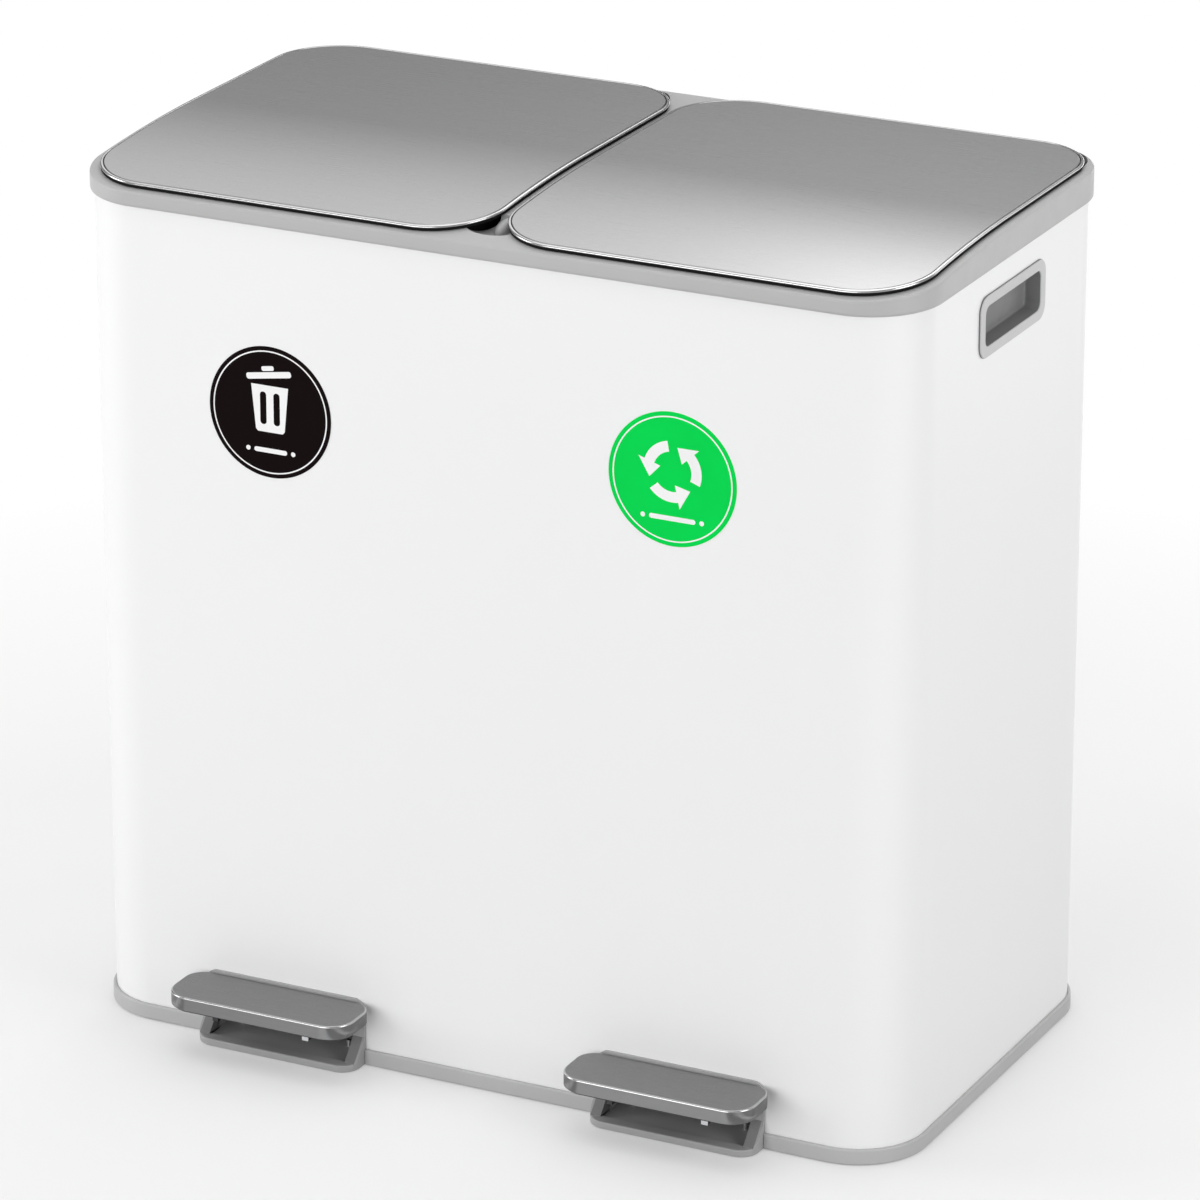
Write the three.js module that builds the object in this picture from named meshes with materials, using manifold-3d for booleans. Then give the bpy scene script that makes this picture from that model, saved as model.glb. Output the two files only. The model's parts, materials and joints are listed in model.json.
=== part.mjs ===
// Double pedal recycling bin: two lift-out buckets side by side in one white steel body,
// each with its own brushed steel lid, foot pedal, lever and push rod.
// Millimetres, +Z up, +X to the right, the front with the pedals towards -Y, the floor at z = 0.

import * as THREE from 'three';
import { mergeVertices } from 'three/addons/utils/BufferGeometryUtils.js';
import Module from 'manifold-3d';

const wasm = await Module();
wasm.setup();

// ---------------------------------------------------------------------------------------------
// Driving dimensions

const gap = 0.3;                   // air between pieces that fit into or against each other

// White steel body
const bodyWidth = 590;
const bodyDepth = 321.6;
const bodyCornerRadius = 46.7;
const shellWall = 0.8;
const shellIntoRim = 3.3;          // the steel's top edge stands in the rim's groove

// Base tray
const trayBottomZ = 0.6;
const trayFloor = 2.9;
const ringHeight = 10.7;           // visible grey band round the foot of the body
const ringOutset = 2.4;
const upstandWall = 2;
const upstandHeight = 11;
const footRadius = 14;
const footInsetX = 60;
const footInsetY = 45;
const footRecess = 1.4;

// Top rim
const rimOutset = 3.2;
const rimHeight = 24.5;            // from the lids' top face down to the rim's bottom edge
const rimEdgeRound = 1.2;
const rimBelowLid = 3.8;           // rim's top edge under the lid's top face
const rimSkirtWall = 2.5;
const rimSkirtDrop = 8.7;
const pocketDepth = 19.7;          // from the lids' top face down to the ledge under them
const pocketInset = 6;             // ledge that the lid's edge overhangs, from the body's face
const pocketRearOutset = 1.2;      // room behind the lids' rear edges, which dip as they open
const pocketFrontRadius = 46;
const pocketRearRadius = 34;
const barWidth = 7;                // bar between the two lids
const mouthSideLedge = 6;
const mouthFrontLedge = 7.8;
const mouthBarLedge = 5.5;
const mouthRearLedge = 42.8;       // covers the hinges and push rods
const mouthCornerRadius = 30;
const scoopFrontY = 12;            // hollow in front of the bar, from the body's front face
const scoopRadiusX = 21;
const scoopRadiusY = 17;
const scoopDepth = 7.5;
const bumperRadius = 2.5;
const bumperInset = 44.8;          // from each lid's ends

// Lids
const lidTopZ = 593.2;
const lidEdgeInset = 2.5;
const lidGap = 5.8;
const lidCornerRadius = 47;
const lidFrontDrop = 9.6;          // the front half bows down by this much
const lidSteel = 0.8;
const lidEdgeRound = 1.6;
const lidEdgeHeight = 2.2;
const linerPlate = 2.2;
const linerBevel = 0.6;
const linerInset = 1.2;            // its edge shows as a dark line under the steel
const linerWall = 2;
const linerWallInset = 8;
const linerGateSide = 3;           // break in the wall's rear run for the rod, beside the lug
const linerFootGap = 1.5;          // over the pocket's floor
const linerRearSetback = 24.3;     // the wall's rear run stands in front of the hinges

// Lid hinges
const hingeInsetY = 5.3;           // axis, from the body's rear face
const hingeDrop = 5.7;             // axis, under the lids' top face
const hingePitch = 190;
const hingePinRadius = 1.4;
const hingeEyeRadius = 3.4;
const knuckleWidth = 12;
const earWidth = 4;
const hingeHoleClearance = 0.35;

// Push rods
const rodRadius = 2.5;
const rodHookRadius = 2;
const rodOffsetX = 8;              // shaft beside the lug that its hook passes through
const rodHookReach = 13;
const rodSlotFront = 10;           // room round rod and lug in the rim, in front of the rod
const rodSlotSide = 4;             // and beside the lug
const lugReach = 22;               // hook from the hinge axis, with the lid closed
const lugHalfSwingDeg = 40;        // the hook starts this far below the axis and ends as far above
const lugWidth = 6;
const lugBorder = 3.5;
const lugSlotSlack = 1.2;
const guideWidth = 36;
const guideHeight = 8;
const guideThick = 4;
const guideLip = 2;                // in front of the rod
const guideHoleClearance = 0.4;
const guideZ = 300;

// Pedals
const pedalInset = 150;            // middle of each pedal, from the body's side
const plateLength = 135;
const plateDepth = 45;
const plateTopZ = 45;
const plateSkirt = 9.6;
const plateFrontRadius = 17.5;
const plateRearRadius = 8;
const plateSteel = 1.2;
const plateEdgeRound = 1.6;
const plateRearGap = 2.6;          // from the body's front face
const coreDrop = 11;               // underside of the core, from the plate's top
const coreWall = 1;

// Pedal levers
const leverPivotY = -60;
const leverPivotZ = 20;
const leverSteel = 4;
const leverForkHalf = 34;          // middle of each fork arm from the pedal's middle
const leverArmHeight = 9;
const leverFrontZ = 26.5;          // underside of the fork at the pedal
const leverTailHeight = 12;
const leverTailEnd = 9;            // past the rod
const leverArmTaper = 2;           // the tabs in the core stand lower than the arm
const leverNeckFront = 2;          // where the arm starts to dip, in front of the plate's rear edge
const leverNeckRear = 8;           // and where its top starts to, behind that edge
const leverBendFront = 8;          // top of the dip, in front of the pivot
const leverBendLow = 4;            // its underside
const leverBridgeReach = 14;       // rear face of the bridge, behind the pivot
const leverTab = 12;
const pivotPinRadius = 2;
const pivotHoleClearance = 0.35;
const pivotPinEnd = 1.5;           // past the middle of its saddles
const saddleThick = 6;
const saddleHalfDepth = 6;
const saddleHeight = 24;
const hookSlotSlack = 0.6;

// Pedal housings
const housingWidth = 119.4;
const housingCornerRadius = 13;
const lipReach = 21.5;             // from the body's front face
const lipTopZ = 5.5;
const flangeThick = 1.7;
const flangeTopZ = 46.5;
const flangeCornerRadius = 8;
const cheekThick = 8.7;
const cheekFootReach = 14.7;
const cheekTopZ = 20;
const ductWall = 2.5;
const ductHeight = 32;
const ductRearReach = 20.8;
const lipStep = 0.9;

// Side handle cups
const gripWidth = 87.8;
const gripHeight = 26.6;
const gripCornerRadius = 5.5;
const gripDepth = 9.6;
const gripDrop = 61;               // middle of the grip, under the lids' top face
const bezelWidth = 103.4;
const bezelHeight = 40.6;
const bezelCornerRadius = 10;
const bezelThick = 1.4;
const cupWall = 1.5;

// Inner buckets
const bucketMouthGap = 1;
const bucketTopGap = 2.7;          // its top edge under the rim's bottom edge
const bucketFlange = 6;
const bucketLip = 8;
const bucketLipWall = 1.5;
const bucketWall = 2.2;
const bucketTaper = 10;
const bucketFootChamfer = 2;

// Shelf that the buckets stand on
const shelfBottomZ = 57;
const shelfThick = 2.5;
const shelfEdgeGap = 0.8;
const postRadius = 6;
const postSpigotRadius = 3;
const postSpigot = 5;
const postInsetX = 14;
const postInsetY = 55;
const screwHeadRadius = 4;
const screwHeadHeight = 2;
const screwShankRadius = 1.8;
const screwLength = 14;
const screwHoleClearance = 0.4;
const housingScrewInset = 19.7;    // from the housing's ends
const housingScrewRadius = 1.5;
const housingScrewHead = 3.4;
const housingScrewHeadHeight = 1.2;
const housingScrewTopZ = 9;
const housingBossRadius = 4;
const housingBossTopZ = 11;
const housingScrewY = 12;          // behind the body's front face

// Round labels
const labelRadius = 44.3;
const labelThick = 0.3;
const labelDrop = 148.7;           // under the lids' top face
const labelLeftInset = 146;        // from the body's left side
const labelRightInset = 158;       // from the body's right side

// Facets
const arcSteps = 6;
const lidLevels = 6;               // steps along the lids' bowed sides
const roundSides = 12;
const screwSides = 10;

// ---------------------------------------------------------------------------------------------
// Sizes worked out from the ones above

const halfWidth = bodyWidth / 2;
const halfDepth = bodyDepth / 2;
const rimBottomZ = lidTopZ - rimHeight;
const shellTopZ = rimBottomZ + shellIntoRim;
const pocketFloorZ = lidTopZ - pocketDepth;
const linerBottomZ = pocketFloorZ + linerFootGap;
const hingeZ = lidTopZ - hingeDrop;
const gripZ = lidTopZ - gripDrop;
const bucketTopZ = rimBottomZ - bucketTopGap;
const labelZ = lidTopZ - labelDrop;
const shellInset = shellWall + gap;
const lidHalf = { inner: lidGap / 2, outer: halfWidth - lidEdgeInset };
const lidMiddleX = (lidHalf.inner + lidHalf.outer) / 2;
const bumperHalfPitch = lidHalf.outer - bumperInset - lidMiddleX;
const lidFrontY = -halfDepth + lidEdgeInset;
const hingeY = halfDepth - hingeInsetY;
const lugSwing = THREE.MathUtils.degToRad(lugHalfSwingDeg);
const rodY = hingeY - lugReach * Math.cos(lugSwing);
const rodTopZ = hingeZ - lugReach * Math.sin(lugSwing);
const rodBottomZ = leverPivotZ - 1;
const trayFloorZ = trayBottomZ + trayFloor;
const shelfTopZ = shelfBottomZ + shelfThick;
const pedalX = halfWidth - pedalInset;
const plateRearY = -halfDepth - plateRearGap;
const plateFrontY = plateRearY - plateDepth;
const rimRearY = halfDepth + rimOutset;
const bodyOutline = outline(-halfWidth, halfWidth, -halfDepth, halfDepth, bodyCornerRadius);

// Height of the lids' top face: level over the rear half, bowed down towards the front
function lidTopAt(y) {
  const t = Math.min(y, 0) / lidFrontY;
  return lidTopZ - lidFrontDrop * t * t;
}

// ---------------------------------------------------------------------------------------------
// Outlines: rectangles seen from above, with one radius for the front corners and one for the rear

function outline(x0, x1, y0, y1, r, rearR = r) {
  return { x0, x1, y0, y1, r, rearR };
}

function grow(o, d) {
  const [r, rearR] = [o.r, o.rearR].map((v) => Math.max(v + d, 0.5));
  return outline(o.x0 - d, o.x1 + d, o.y0 - d, o.y1 + d, r, rearR);
}

function mirrored(o, side) {
  return side > 0 ? o : outline(-o.x1, -o.x0, o.y0, o.y1, o.r, o.rearR);
}

function outlineShape(o) {
  const s = new THREE.Shape();
  s.moveTo(o.x0 + o.r, o.y0);
  s.absarc(o.x1 - o.r, o.y0 + o.r, o.r, -Math.PI / 2, 0);
  s.absarc(o.x1 - o.rearR, o.y1 - o.rearR, o.rearR, 0, Math.PI / 2);
  s.absarc(o.x0 + o.rearR, o.y1 - o.rearR, o.rearR, Math.PI / 2, Math.PI);
  s.absarc(o.x0 + o.r, o.y0 + o.r, o.r, Math.PI, Math.PI * 1.5);
  return s;
}

// ---------------------------------------------------------------------------------------------
// Plain solids

function box(x0, x1, y0, y1, z0, z1) {
  const g = new THREE.BoxGeometry(x1 - x0, y1 - y0, z1 - z0);
  return g.translate((x0 + x1) / 2, (y0 + y1) / 2, (z0 + z1) / 2);
}

function prism(o, z0, z1) {
  const options = { depth: z1 - z0, bevelEnabled: false, curveSegments: arcSteps };
  return new THREE.ExtrudeGeometry(outlineShape(o), options).translate(0, 0, z0);
}

function tube(outer, inner, z0, z1) {
  const s = outlineShape(outer);
  s.holes.push(outlineShape(inner));
  const options = { depth: z1 - z0, bevelEnabled: false, curveSegments: arcSteps };
  return new THREE.ExtrudeGeometry(s, options).translate(0, 0, z0);
}

function uprightCylinder(x, y, r, z0, z1, sides = roundSides) {
  const g = new THREE.CylinderGeometry(r, r, z1 - z0, sides);
  return g.rotateX(Math.PI / 2).translate(x, y, (z0 + z1) / 2);
}

function crossCylinder(x0, x1, y, z, r, sides = roundSides) {
  const g = new THREE.CylinderGeometry(r, r, x1 - x0, sides);
  return g.rotateZ(Math.PI / 2).translate((x0 + x1) / 2, y, z);
}

// A side profile of (y, z) points, extruded across X
function slab(points, x0, x1) {
  const s = new THREE.Shape(points.map(([y, z]) => new THREE.Vector2(y, z)));
  const g = new THREE.ExtrudeGeometry(s, { depth: x1 - x0, bevelEnabled: false });
  const across = new THREE.Matrix4().makeBasis(
    new THREE.Vector3(0, 1, 0), new THREE.Vector3(0, 0, 1), new THREE.Vector3(1, 0, 0));
  return g.applyMatrix4(across).translate(x0, 0, 0);
}

// One loop of points round an outline, front to rear up the right side and back down the left,
// with the height of each point given by its y
function ringPoints(o, heightAt, levels) {
  const right = [];
  for (let i = 0; i <= arcSteps; i++) {
    const a = (i / arcSteps) * Math.PI / 2;
    right.push([o.x1 - o.r + o.r * Math.sin(a), o.y0 + o.r - o.r * Math.cos(a)]);
  }
  const y0 = o.y0 + o.r;
  const y1 = o.y1 - o.rearR;
  for (let i = 1; i < levels; i++) {
    right.push([o.x1, y0 + (y1 - y0) * i / levels]);
  }
  for (let i = 0; i <= arcSteps; i++) {
    const a = (i / arcSteps) * Math.PI / 2;
    right.push([o.x1 - o.rearR + o.rearR * Math.cos(a), y1 + o.rearR * Math.sin(a)]);
  }
  const left = right.map(([x, y]) => [o.x0 + o.x1 - x, y]).reverse();
  return [...right, ...left].map(([x, y]) => new THREE.Vector3(x, y, heightAt(y)));
}

// A closed skin through loops of points, its first and last loop closed by level strips
function loft(rings) {
  const n = rings[0].length;
  const index = [];
  for (let r = 0; r + 1 < rings.length; r++) {
    for (let i = 0; i < n; i++) {
      const j = (i + 1) % n;
      const [a, b, c, d] = [r * n + i, r * n + j, (r + 1) * n + j, (r + 1) * n + i];
      index.push(a, b, c, a, c, d);
    }
  }
  const top = (rings.length - 1) * n;
  for (let i = 0; i + 1 < n / 2; i++) {
    const [a, b, c, d] = [i, i + 1, n - 2 - i, n - 1 - i];
    index.push(a, c, b, a, d, c);
    index.push(top + a, top + b, top + c, top + a, top + c, top + d);
  }
  const g = new THREE.BufferGeometry();
  g.setAttribute('position', new THREE.Float32BufferAttribute(rings.flat().flatMap((p) => p.toArray()), 3));
  g.setIndex(index);
  return g;
}

// Loops given as [inset, height under a reference face], from one outline
function loftProfile(o, steps, faceAt, levels = 1) {
  return loft(steps.map(([inset, drop]) => ringPoints(grow(o, -inset), (y) => faceAt(y) - drop, levels)));
}

// A quarter round from the side face up to the top face, as [inset, drop] steps
function edgeRound(radius, steps) {
  const out = [];
  for (let i = 0; i <= steps; i++) {
    const a = (i / steps) * Math.PI / 2;
    out.push([radius * (1 - Math.cos(a)), radius * (1 - Math.sin(a))]);
  }
  return out;
}

// ---------------------------------------------------------------------------------------------
// Cutting and joining

function solid(geometry) {
  const bare = geometry.clone();
  bare.deleteAttribute('normal');
  bare.deleteAttribute('uv');
  const g = mergeVertices(bare, 1e-4);
  return new wasm.Manifold(new wasm.Mesh({
    numProp: 3,
    vertProperties: new Float32Array(g.attributes.position.array),
    triVerts: new Uint32Array(g.index.array),
  }));
}

function geometryOf(manifold) {
  const mesh = manifold.getMesh();
  const g = new THREE.BufferGeometry();
  g.setAttribute('position', new THREE.BufferAttribute(new Float32Array(mesh.vertProperties), 3));
  g.setIndex(new THREE.BufferAttribute(new Uint32Array(mesh.triVerts), 1));
  return g;
}

function shaped(base, added, removed) {
  let s = solid(base);
  for (const g of added) s = s.add(solid(g));
  for (const g of removed) s = s.subtract(solid(g));
  return geometryOf(s);
}

// ---------------------------------------------------------------------------------------------
// Materials

const finishes = {
  whiteSteel: new THREE.MeshStandardMaterial({ color: 0xe9e9e9, roughness: 0.45, metalness: 0 }),
  greyPlastic: new THREE.MeshStandardMaterial({ color: 0xb9b9b9, roughness: 0.55, metalness: 0 }),
  darkPlastic: new THREE.MeshStandardMaterial({ color: 0x26272a, roughness: 0.6, metalness: 0 }),
  bucketPlastic: new THREE.MeshStandardMaterial({ color: 0x54575c, roughness: 0.6, metalness: 0 }),
  brushedSteel: new THREE.MeshStandardMaterial({ color: 0x9c9c9c, roughness: 0.35, metalness: 1 }),
  zincSteel: new THREE.MeshStandardMaterial({ color: 0xc4c6c8, roughness: 0.3, metalness: 1 }),
  rubber: new THREE.MeshStandardMaterial({ color: 0x1c1c1c, roughness: 0.9, metalness: 0 }),
  blackLabel: new THREE.MeshStandardMaterial({ color: 0x0d0405, roughness: 0.4, metalness: 0 }),
  greenLabel: new THREE.MeshStandardMaterial({ color: 0x0fd050, roughness: 0.4, metalness: 0 }),
};

const bin = new THREE.Group();

function place(name, geometry, finish, parent = bin) {
  const mesh = new THREE.Mesh(geometry, finishes[finish].clone());
  mesh.name = name;
  parent.add(mesh);
  return mesh;
}

// ---------------------------------------------------------------------------------------------
// White steel body: a rounded sleeve with a window for each handle cup and pedal housing

const shellBottomZ = trayFloorZ + gap;
const ductOuterHalf = housingWidth / 2 - cheekThick + ductWall;
const ductBottomZ = trayFloorZ + gap;
const ductTopZ = ductBottomZ + ductHeight + ductWall;

function outerBody() {
  const sleeve = tube(bodyOutline, grow(bodyOutline, -shellWall), shellBottomZ, shellTopZ);
  const cuts = [];
  for (const side of [-1, 1]) {
    cuts.push(gripPrism(side, gripWidth / 2 + cupWall + gap, gripHeight / 2 + cupWall + gap,
      gripCornerRadius + cupWall + gap, halfWidth - 2 * shellWall, halfWidth + shellWall));
    const x = side * pedalX;
    cuts.push(box(x - ductOuterHalf - gap, x + ductOuterHalf + gap,
      -halfDepth - shellWall, -halfDepth + 2 * shellWall, shellBottomZ - shellWall, ductTopZ + gap));
  }
  return shaped(sleeve, [], cuts);
}

// ---------------------------------------------------------------------------------------------
// Side handle cups: a recess through the body's side with a bezel round its mouth

// A rounded prism with its axis along X, from one distance outwards to another
function gripPrism(side, halfY, halfZ, r, from, to) {
  const upright = prism(outline(-halfY, halfY, -halfZ, halfZ, r), from, to);
  const turn = new THREE.Matrix4().makeBasis(
    new THREE.Vector3(0, side, 0), new THREE.Vector3(0, 0, 1), new THREE.Vector3(side, 0, 0));
  return upright.applyMatrix4(turn).translate(0, 0, gripZ);
}

function handleCup(side) {
  const halfY = gripWidth / 2;
  const halfZ = gripHeight / 2;
  const face = halfWidth + gap / 2;
  const floor = halfWidth - gripDepth;
  const bezel = gripPrism(side, bezelWidth / 2, bezelHeight / 2, bezelCornerRadius, face, face + bezelThick);
  const cup = gripPrism(side, halfY + cupWall, halfZ + cupWall, gripCornerRadius + cupWall,
    floor - cupWall, face + bezelThick / 2);
  const hollow = gripPrism(side, halfY, halfZ, gripCornerRadius, floor, face + 2 * bezelThick);
  return shaped(bezel, [cup], [hollow]);
}

// ---------------------------------------------------------------------------------------------
// Base tray: floor, outer ring, inner upstand, pin saddles and a spigot for each shelf post

const footPlaces = [];
for (const [sy, front] of [[-1, 'front'], [1, 'rear']]) {
  for (const [sx, hand] of [[-1, 'left'], [1, 'right']]) {
    const x = sx * (halfWidth - footInsetX);
    const y = sy * (halfDepth - footInsetY);
    footPlaces.push({ name: `foot_${front}_${hand}`, x, y });
  }
}

// One post and its screw under each corner of the shelf and the middles of its long sides
const postPlaces = [];
for (const [sy, front] of [[-1, 'front'], [1, 'rear']]) {
  for (const [sx, hand] of [[-1, 'left'], [0, 'middle'], [1, 'right']]) {
    const x = sx * (halfWidth - postInsetX);
    const y = sy * (halfDepth - postInsetY);
    postPlaces.push({ tag: `${front}_${hand}`, x, y });
  }
}

const housingScrewPlaces = [];
for (const [side, hand] of [[-1, 'left'], [1, 'right']]) {
  for (const [end, tag] of [[-1, 'a'], [1, 'b']]) {
    const x = side * pedalX + end * (housingWidth / 2 - housingScrewInset);
    const y = -halfDepth + housingScrewY;
    housingScrewPlaces.push({ name: `housing_screw_${hand}_${tag}`, x, y });
  }
}

const saddleMiddle = leverForkHalf + leverSteel / 2 + gap + saddleThick / 2;

function baseTray() {
  const floor = prism(grow(bodyOutline, ringOutset), trayBottomZ + gap, trayFloorZ);
  const ring = tube(grow(bodyOutline, ringOutset), grow(bodyOutline, gap),
    trayBottomZ, trayBottomZ + ringHeight);
  const upstand = tube(grow(bodyOutline, -shellInset), grow(bodyOutline, -shellInset - upstandWall),
    trayFloorZ - 1, trayFloorZ + upstandHeight);
  const added = [ring, upstand];
  const removed = [];
  for (const side of [-1, 1]) {
    const x = side * pedalX;
    for (const end of [-1, 1]) {
      const sx = x + end * saddleMiddle;
      added.push(box(sx - saddleThick / 2, sx + saddleThick / 2, leverPivotY - saddleHalfDepth,
        leverPivotY + saddleHalfDepth, trayFloorZ - 1, trayFloorZ + saddleHeight));
    }
    const reach = saddleMiddle + saddleThick;
    removed.push(crossCylinder(x - reach, x + reach, leverPivotY, leverPivotZ,
      pivotPinRadius + pivotHoleClearance));
    const half = housingWidth / 2 + gap;
    removed.push(box(x - half, x + half, -halfDepth - 2 * ringOutset, -halfDepth + shellWall + gap,
      trayFloorZ, trayFloorZ + ringHeight));
    removed.push(box(x - half, x + half, -halfDepth - 2 * ringOutset, -halfDepth - gap / 2,
      trayBottomZ - 1, trayFloorZ + ringHeight));
    removed.push(box(x - ductOuterHalf - gap, x + ductOuterHalf + gap, -halfDepth,
      -halfDepth + shellInset + upstandWall + gap, trayFloorZ, trayFloorZ + 2 * upstandHeight));
  }
  for (const { x, y } of postPlaces) {
    added.push(uprightCylinder(x, y, postSpigotRadius, trayFloorZ - 1, trayFloorZ + postSpigot, screwSides));
  }
  for (const { x, y } of footPlaces) {
    removed.push(uprightCylinder(x, y, footRadius + gap, 0, trayBottomZ + footRecess + gap));
  }
  for (const { x, y } of housingScrewPlaces) {
    removed.push(uprightCylinder(x, y, housingScrewHead + gap, 0,
      trayBottomZ + gap + housingScrewHeadHeight + gap, screwSides));
    removed.push(uprightCylinder(x, y, housingScrewRadius + screwHoleClearance, 0,
      trayFloorZ + 1, screwSides));
  }
  return shaped(floor, added, removed);
}

function shelfPost(x, y) {
  const post = uprightCylinder(x, y, postRadius, trayFloorZ, shelfBottomZ, screwSides);
  const socket = uprightCylinder(x, y, postSpigotRadius + gap, trayFloorZ - 1,
    trayFloorZ + postSpigot + gap, screwSides);
  const bore = uprightCylinder(x, y, screwShankRadius + screwHoleClearance,
    shelfBottomZ - screwLength - 2, shelfBottomZ + 1, screwSides);
  return shaped(post, [], [socket, bore]);
}

function foot(x, y) {
  return uprightCylinder(x, y, footRadius, 0, trayBottomZ + footRecess);
}

// A pan-head screw: flat round head and plain shank, point down from headZ
function screw(x, y, headZ, down, headRadius, headHeight, shankRadius, length) {
  const profile = [[0, -length], [shankRadius, -length], [shankRadius, 0], [headRadius, 0],
    [headRadius, headHeight * 0.6], [headRadius * 0.75, headHeight], [0, headHeight]];
  const points = profile.map(([r, h]) => new THREE.Vector2(r, h));
  const g = new THREE.LatheGeometry(points, screwSides).rotateX(Math.PI / 2);
  if (!down) g.rotateX(Math.PI);
  return g.translate(x, y, headZ);
}

// ---------------------------------------------------------------------------------------------
// Shelf over the levers: the buckets stand on it and the push rods pass through it

function bucketShelf() {
  const plate = prism(grow(bodyOutline, -shellWall - shelfEdgeGap), shelfBottomZ, shelfTopZ);
  const cuts = [];
  for (const { x, y } of postPlaces) {
    cuts.push(uprightCylinder(x, y, screwShankRadius + screwHoleClearance,
      shelfBottomZ - 1, shelfTopZ + 1, screwSides));
  }
  for (const side of [-1, 1]) {
    const x = side * pedalX;
    cuts.push(box(x - leverSteel - rodRadius, x + rodOffsetX + 2 * rodRadius, rodY - 3 * rodRadius,
      rodY + 3 * rodRadius, shelfBottomZ - 1, shelfTopZ + 1));
  }
  return shaped(plate, [], cuts);
}

// ---------------------------------------------------------------------------------------------
// Pedal housings: a flange on the body's front, a floor lip with cheeks, and a duct inside

function pedalHousing(side) {
  const x = side * pedalX;
  const half = housingWidth / 2;
  const openHalf = half - cheekThick;
  const face = -halfDepth - gap;
  const front = face - flangeThick;
  const plan = outline(x - half, x + half, -halfDepth - lipReach, -halfDepth + 40, housingCornerRadius);
  const lip = prism(plan, trayBottomZ, lipTopZ);
  const ahead = box(x - half - 1, x + half + 1, -halfDepth - gap / 2 - ringOutset,
    -halfDepth + 60, -1, lipTopZ + 1);
  const flange = slab([[face, lipTopZ - 1], [face, flangeTopZ], [front, flangeTopZ], [front, lipTopZ - 1]],
    x - half, x + half);
  const cheeks = [-1, 1].map((end) => {
    const outer = x + end * half;
    const inner = outer - end * cheekThick;
    const foot = -halfDepth - cheekFootReach;
    return slab([[face, lipTopZ - 1], [face, cheekTopZ], [front, cheekTopZ], [foot, lipTopZ],
      [foot, lipTopZ - 1]], Math.min(outer, inner), Math.max(outer, inner));
  });
  const ductFront = face - flangeThick / 2;
  const ductRear = -halfDepth + ductRearReach;
  const ductHalf = openHalf + ductWall;
  const duct = box(x - ductHalf, x + ductHalf, ductFront, ductRear, ductBottomZ, ductTopZ);
  const bosses = housingScrewPlaces.filter((p) => Math.sign(p.x) === side)
    .map((p) => uprightCylinder(p.x, p.y, housingBossRadius, ductBottomZ, housingBossTopZ, screwSides));
  const bore = box(x - openHalf, x + openHalf, front - 1, ductRear + 1,
    lipTopZ + lipStep, ductTopZ - ductWall);
  const floorLevel = box(x - openHalf, x + openHalf, -halfDepth - cheekFootReach + 2, front,
    lipTopZ - lipStep, lipTopZ + 1);
  const screwHoles = housingScrewPlaces.filter((p) => Math.sign(p.x) === side)
    .map((p) => uprightCylinder(p.x, p.y, housingScrewRadius + screwHoleClearance,
      0, housingScrewTopZ + gap, screwSides));
  const corners = [-1, 1].map((end) => flangeCorner(x + end * half, end, front, face));
  let s = solid(lip).subtract(solid(ahead)).add(solid(flange)).add(solid(cheeks[0])).add(solid(cheeks[1]));
  s = s.add(solid(box(x - ductHalf, x + ductHalf, -halfDepth - ringOutset - 1, ductRear,
    ductBottomZ, lipTopZ)));
  s = s.add(solid(duct)).subtract(solid(bore));
  for (const g of bosses) s = s.add(solid(g));
  for (const g of [...screwHoles, floorLevel, ...corners]) s = s.subtract(solid(g));
  return geometryOf(s);
}

// What a rounded upper corner takes off the square flange
function flangeCorner(x, end, front, rear) {
  const r = flangeCornerRadius;
  const s = new THREE.Shape();
  s.moveTo(1, 1);
  s.lineTo(-r, 1);
  s.lineTo(-r, 0);
  s.absarc(-r, -r, r, Math.PI / 2, 0, true);
  s.lineTo(1, -r);
  const g = new THREE.ExtrudeGeometry(s, { depth: rear - front + 2, bevelEnabled: false, curveSegments: 6 });
  g.rotateX(Math.PI / 2);
  if (end < 0) g.rotateZ(Math.PI);
  return g.translate(x, end < 0 ? front - 1 : rear + 1, flangeTopZ);
}

// ---------------------------------------------------------------------------------------------
// Pedals: a steel plate over a plastic core, on a forked steel lever

function pedalOutline(side) {
  const x = side * pedalX;
  return outline(x - plateLength / 2, x + plateLength / 2, plateFrontY, plateRearY,
    plateFrontRadius, plateRearRadius);
}

function pedalPlate(side) {
  const inner = plateSteel;
  const steps = [[inner + 1.2, plateSteel], [inner, plateSteel + 1.2], [inner, plateSkirt], [0, plateSkirt]];
  return loftProfile(pedalOutline(side), [...steps, ...edgeRound(plateEdgeRound, 3)], () => plateTopZ);
}

function tabSlots(side, slack) {
  const y0 = plateFrontY + leverTab;
  return [-1, 1].map((end) => {
    const x = side * pedalX + end * leverForkHalf;
    return box(x - leverSteel / 2 - slack, x + leverSteel / 2 + slack, y0 - slack,
      plateRearY - leverTab + slack, leverFrontZ, plateTopZ - plateSteel - gap - coreWall + slack);
  });
}

function pedalCore(side) {
  const o = grow(pedalOutline(side), -plateSteel - gap);
  const top = plateTopZ - plateSteel - gap;
  const depth = plateTopZ - coreDrop;
  const block = loftProfile(o, [[0, top - depth], [0, 1.2], [1.2, 0]], () => top);
  return shaped(block, [], tabSlots(side, gap));
}

function leverProfile() {
  const frontY = plateFrontY + leverTab;
  const top = leverFrontZ + leverArmHeight - leverArmTaper;
  const low = leverPivotZ - leverTailHeight / 2;
  const bridgeY = leverPivotY + leverBridgeReach;
  return [[frontY, leverFrontZ], [plateRearY - leverNeckFront, leverFrontZ],
    [leverPivotY - leverBendLow, low], [bridgeY, low], [bridgeY, low + leverTailHeight],
    [leverPivotY - leverBendFront, low + leverTailHeight], [plateRearY + leverNeckRear, top],
    [frontY, top]];
}

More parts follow.
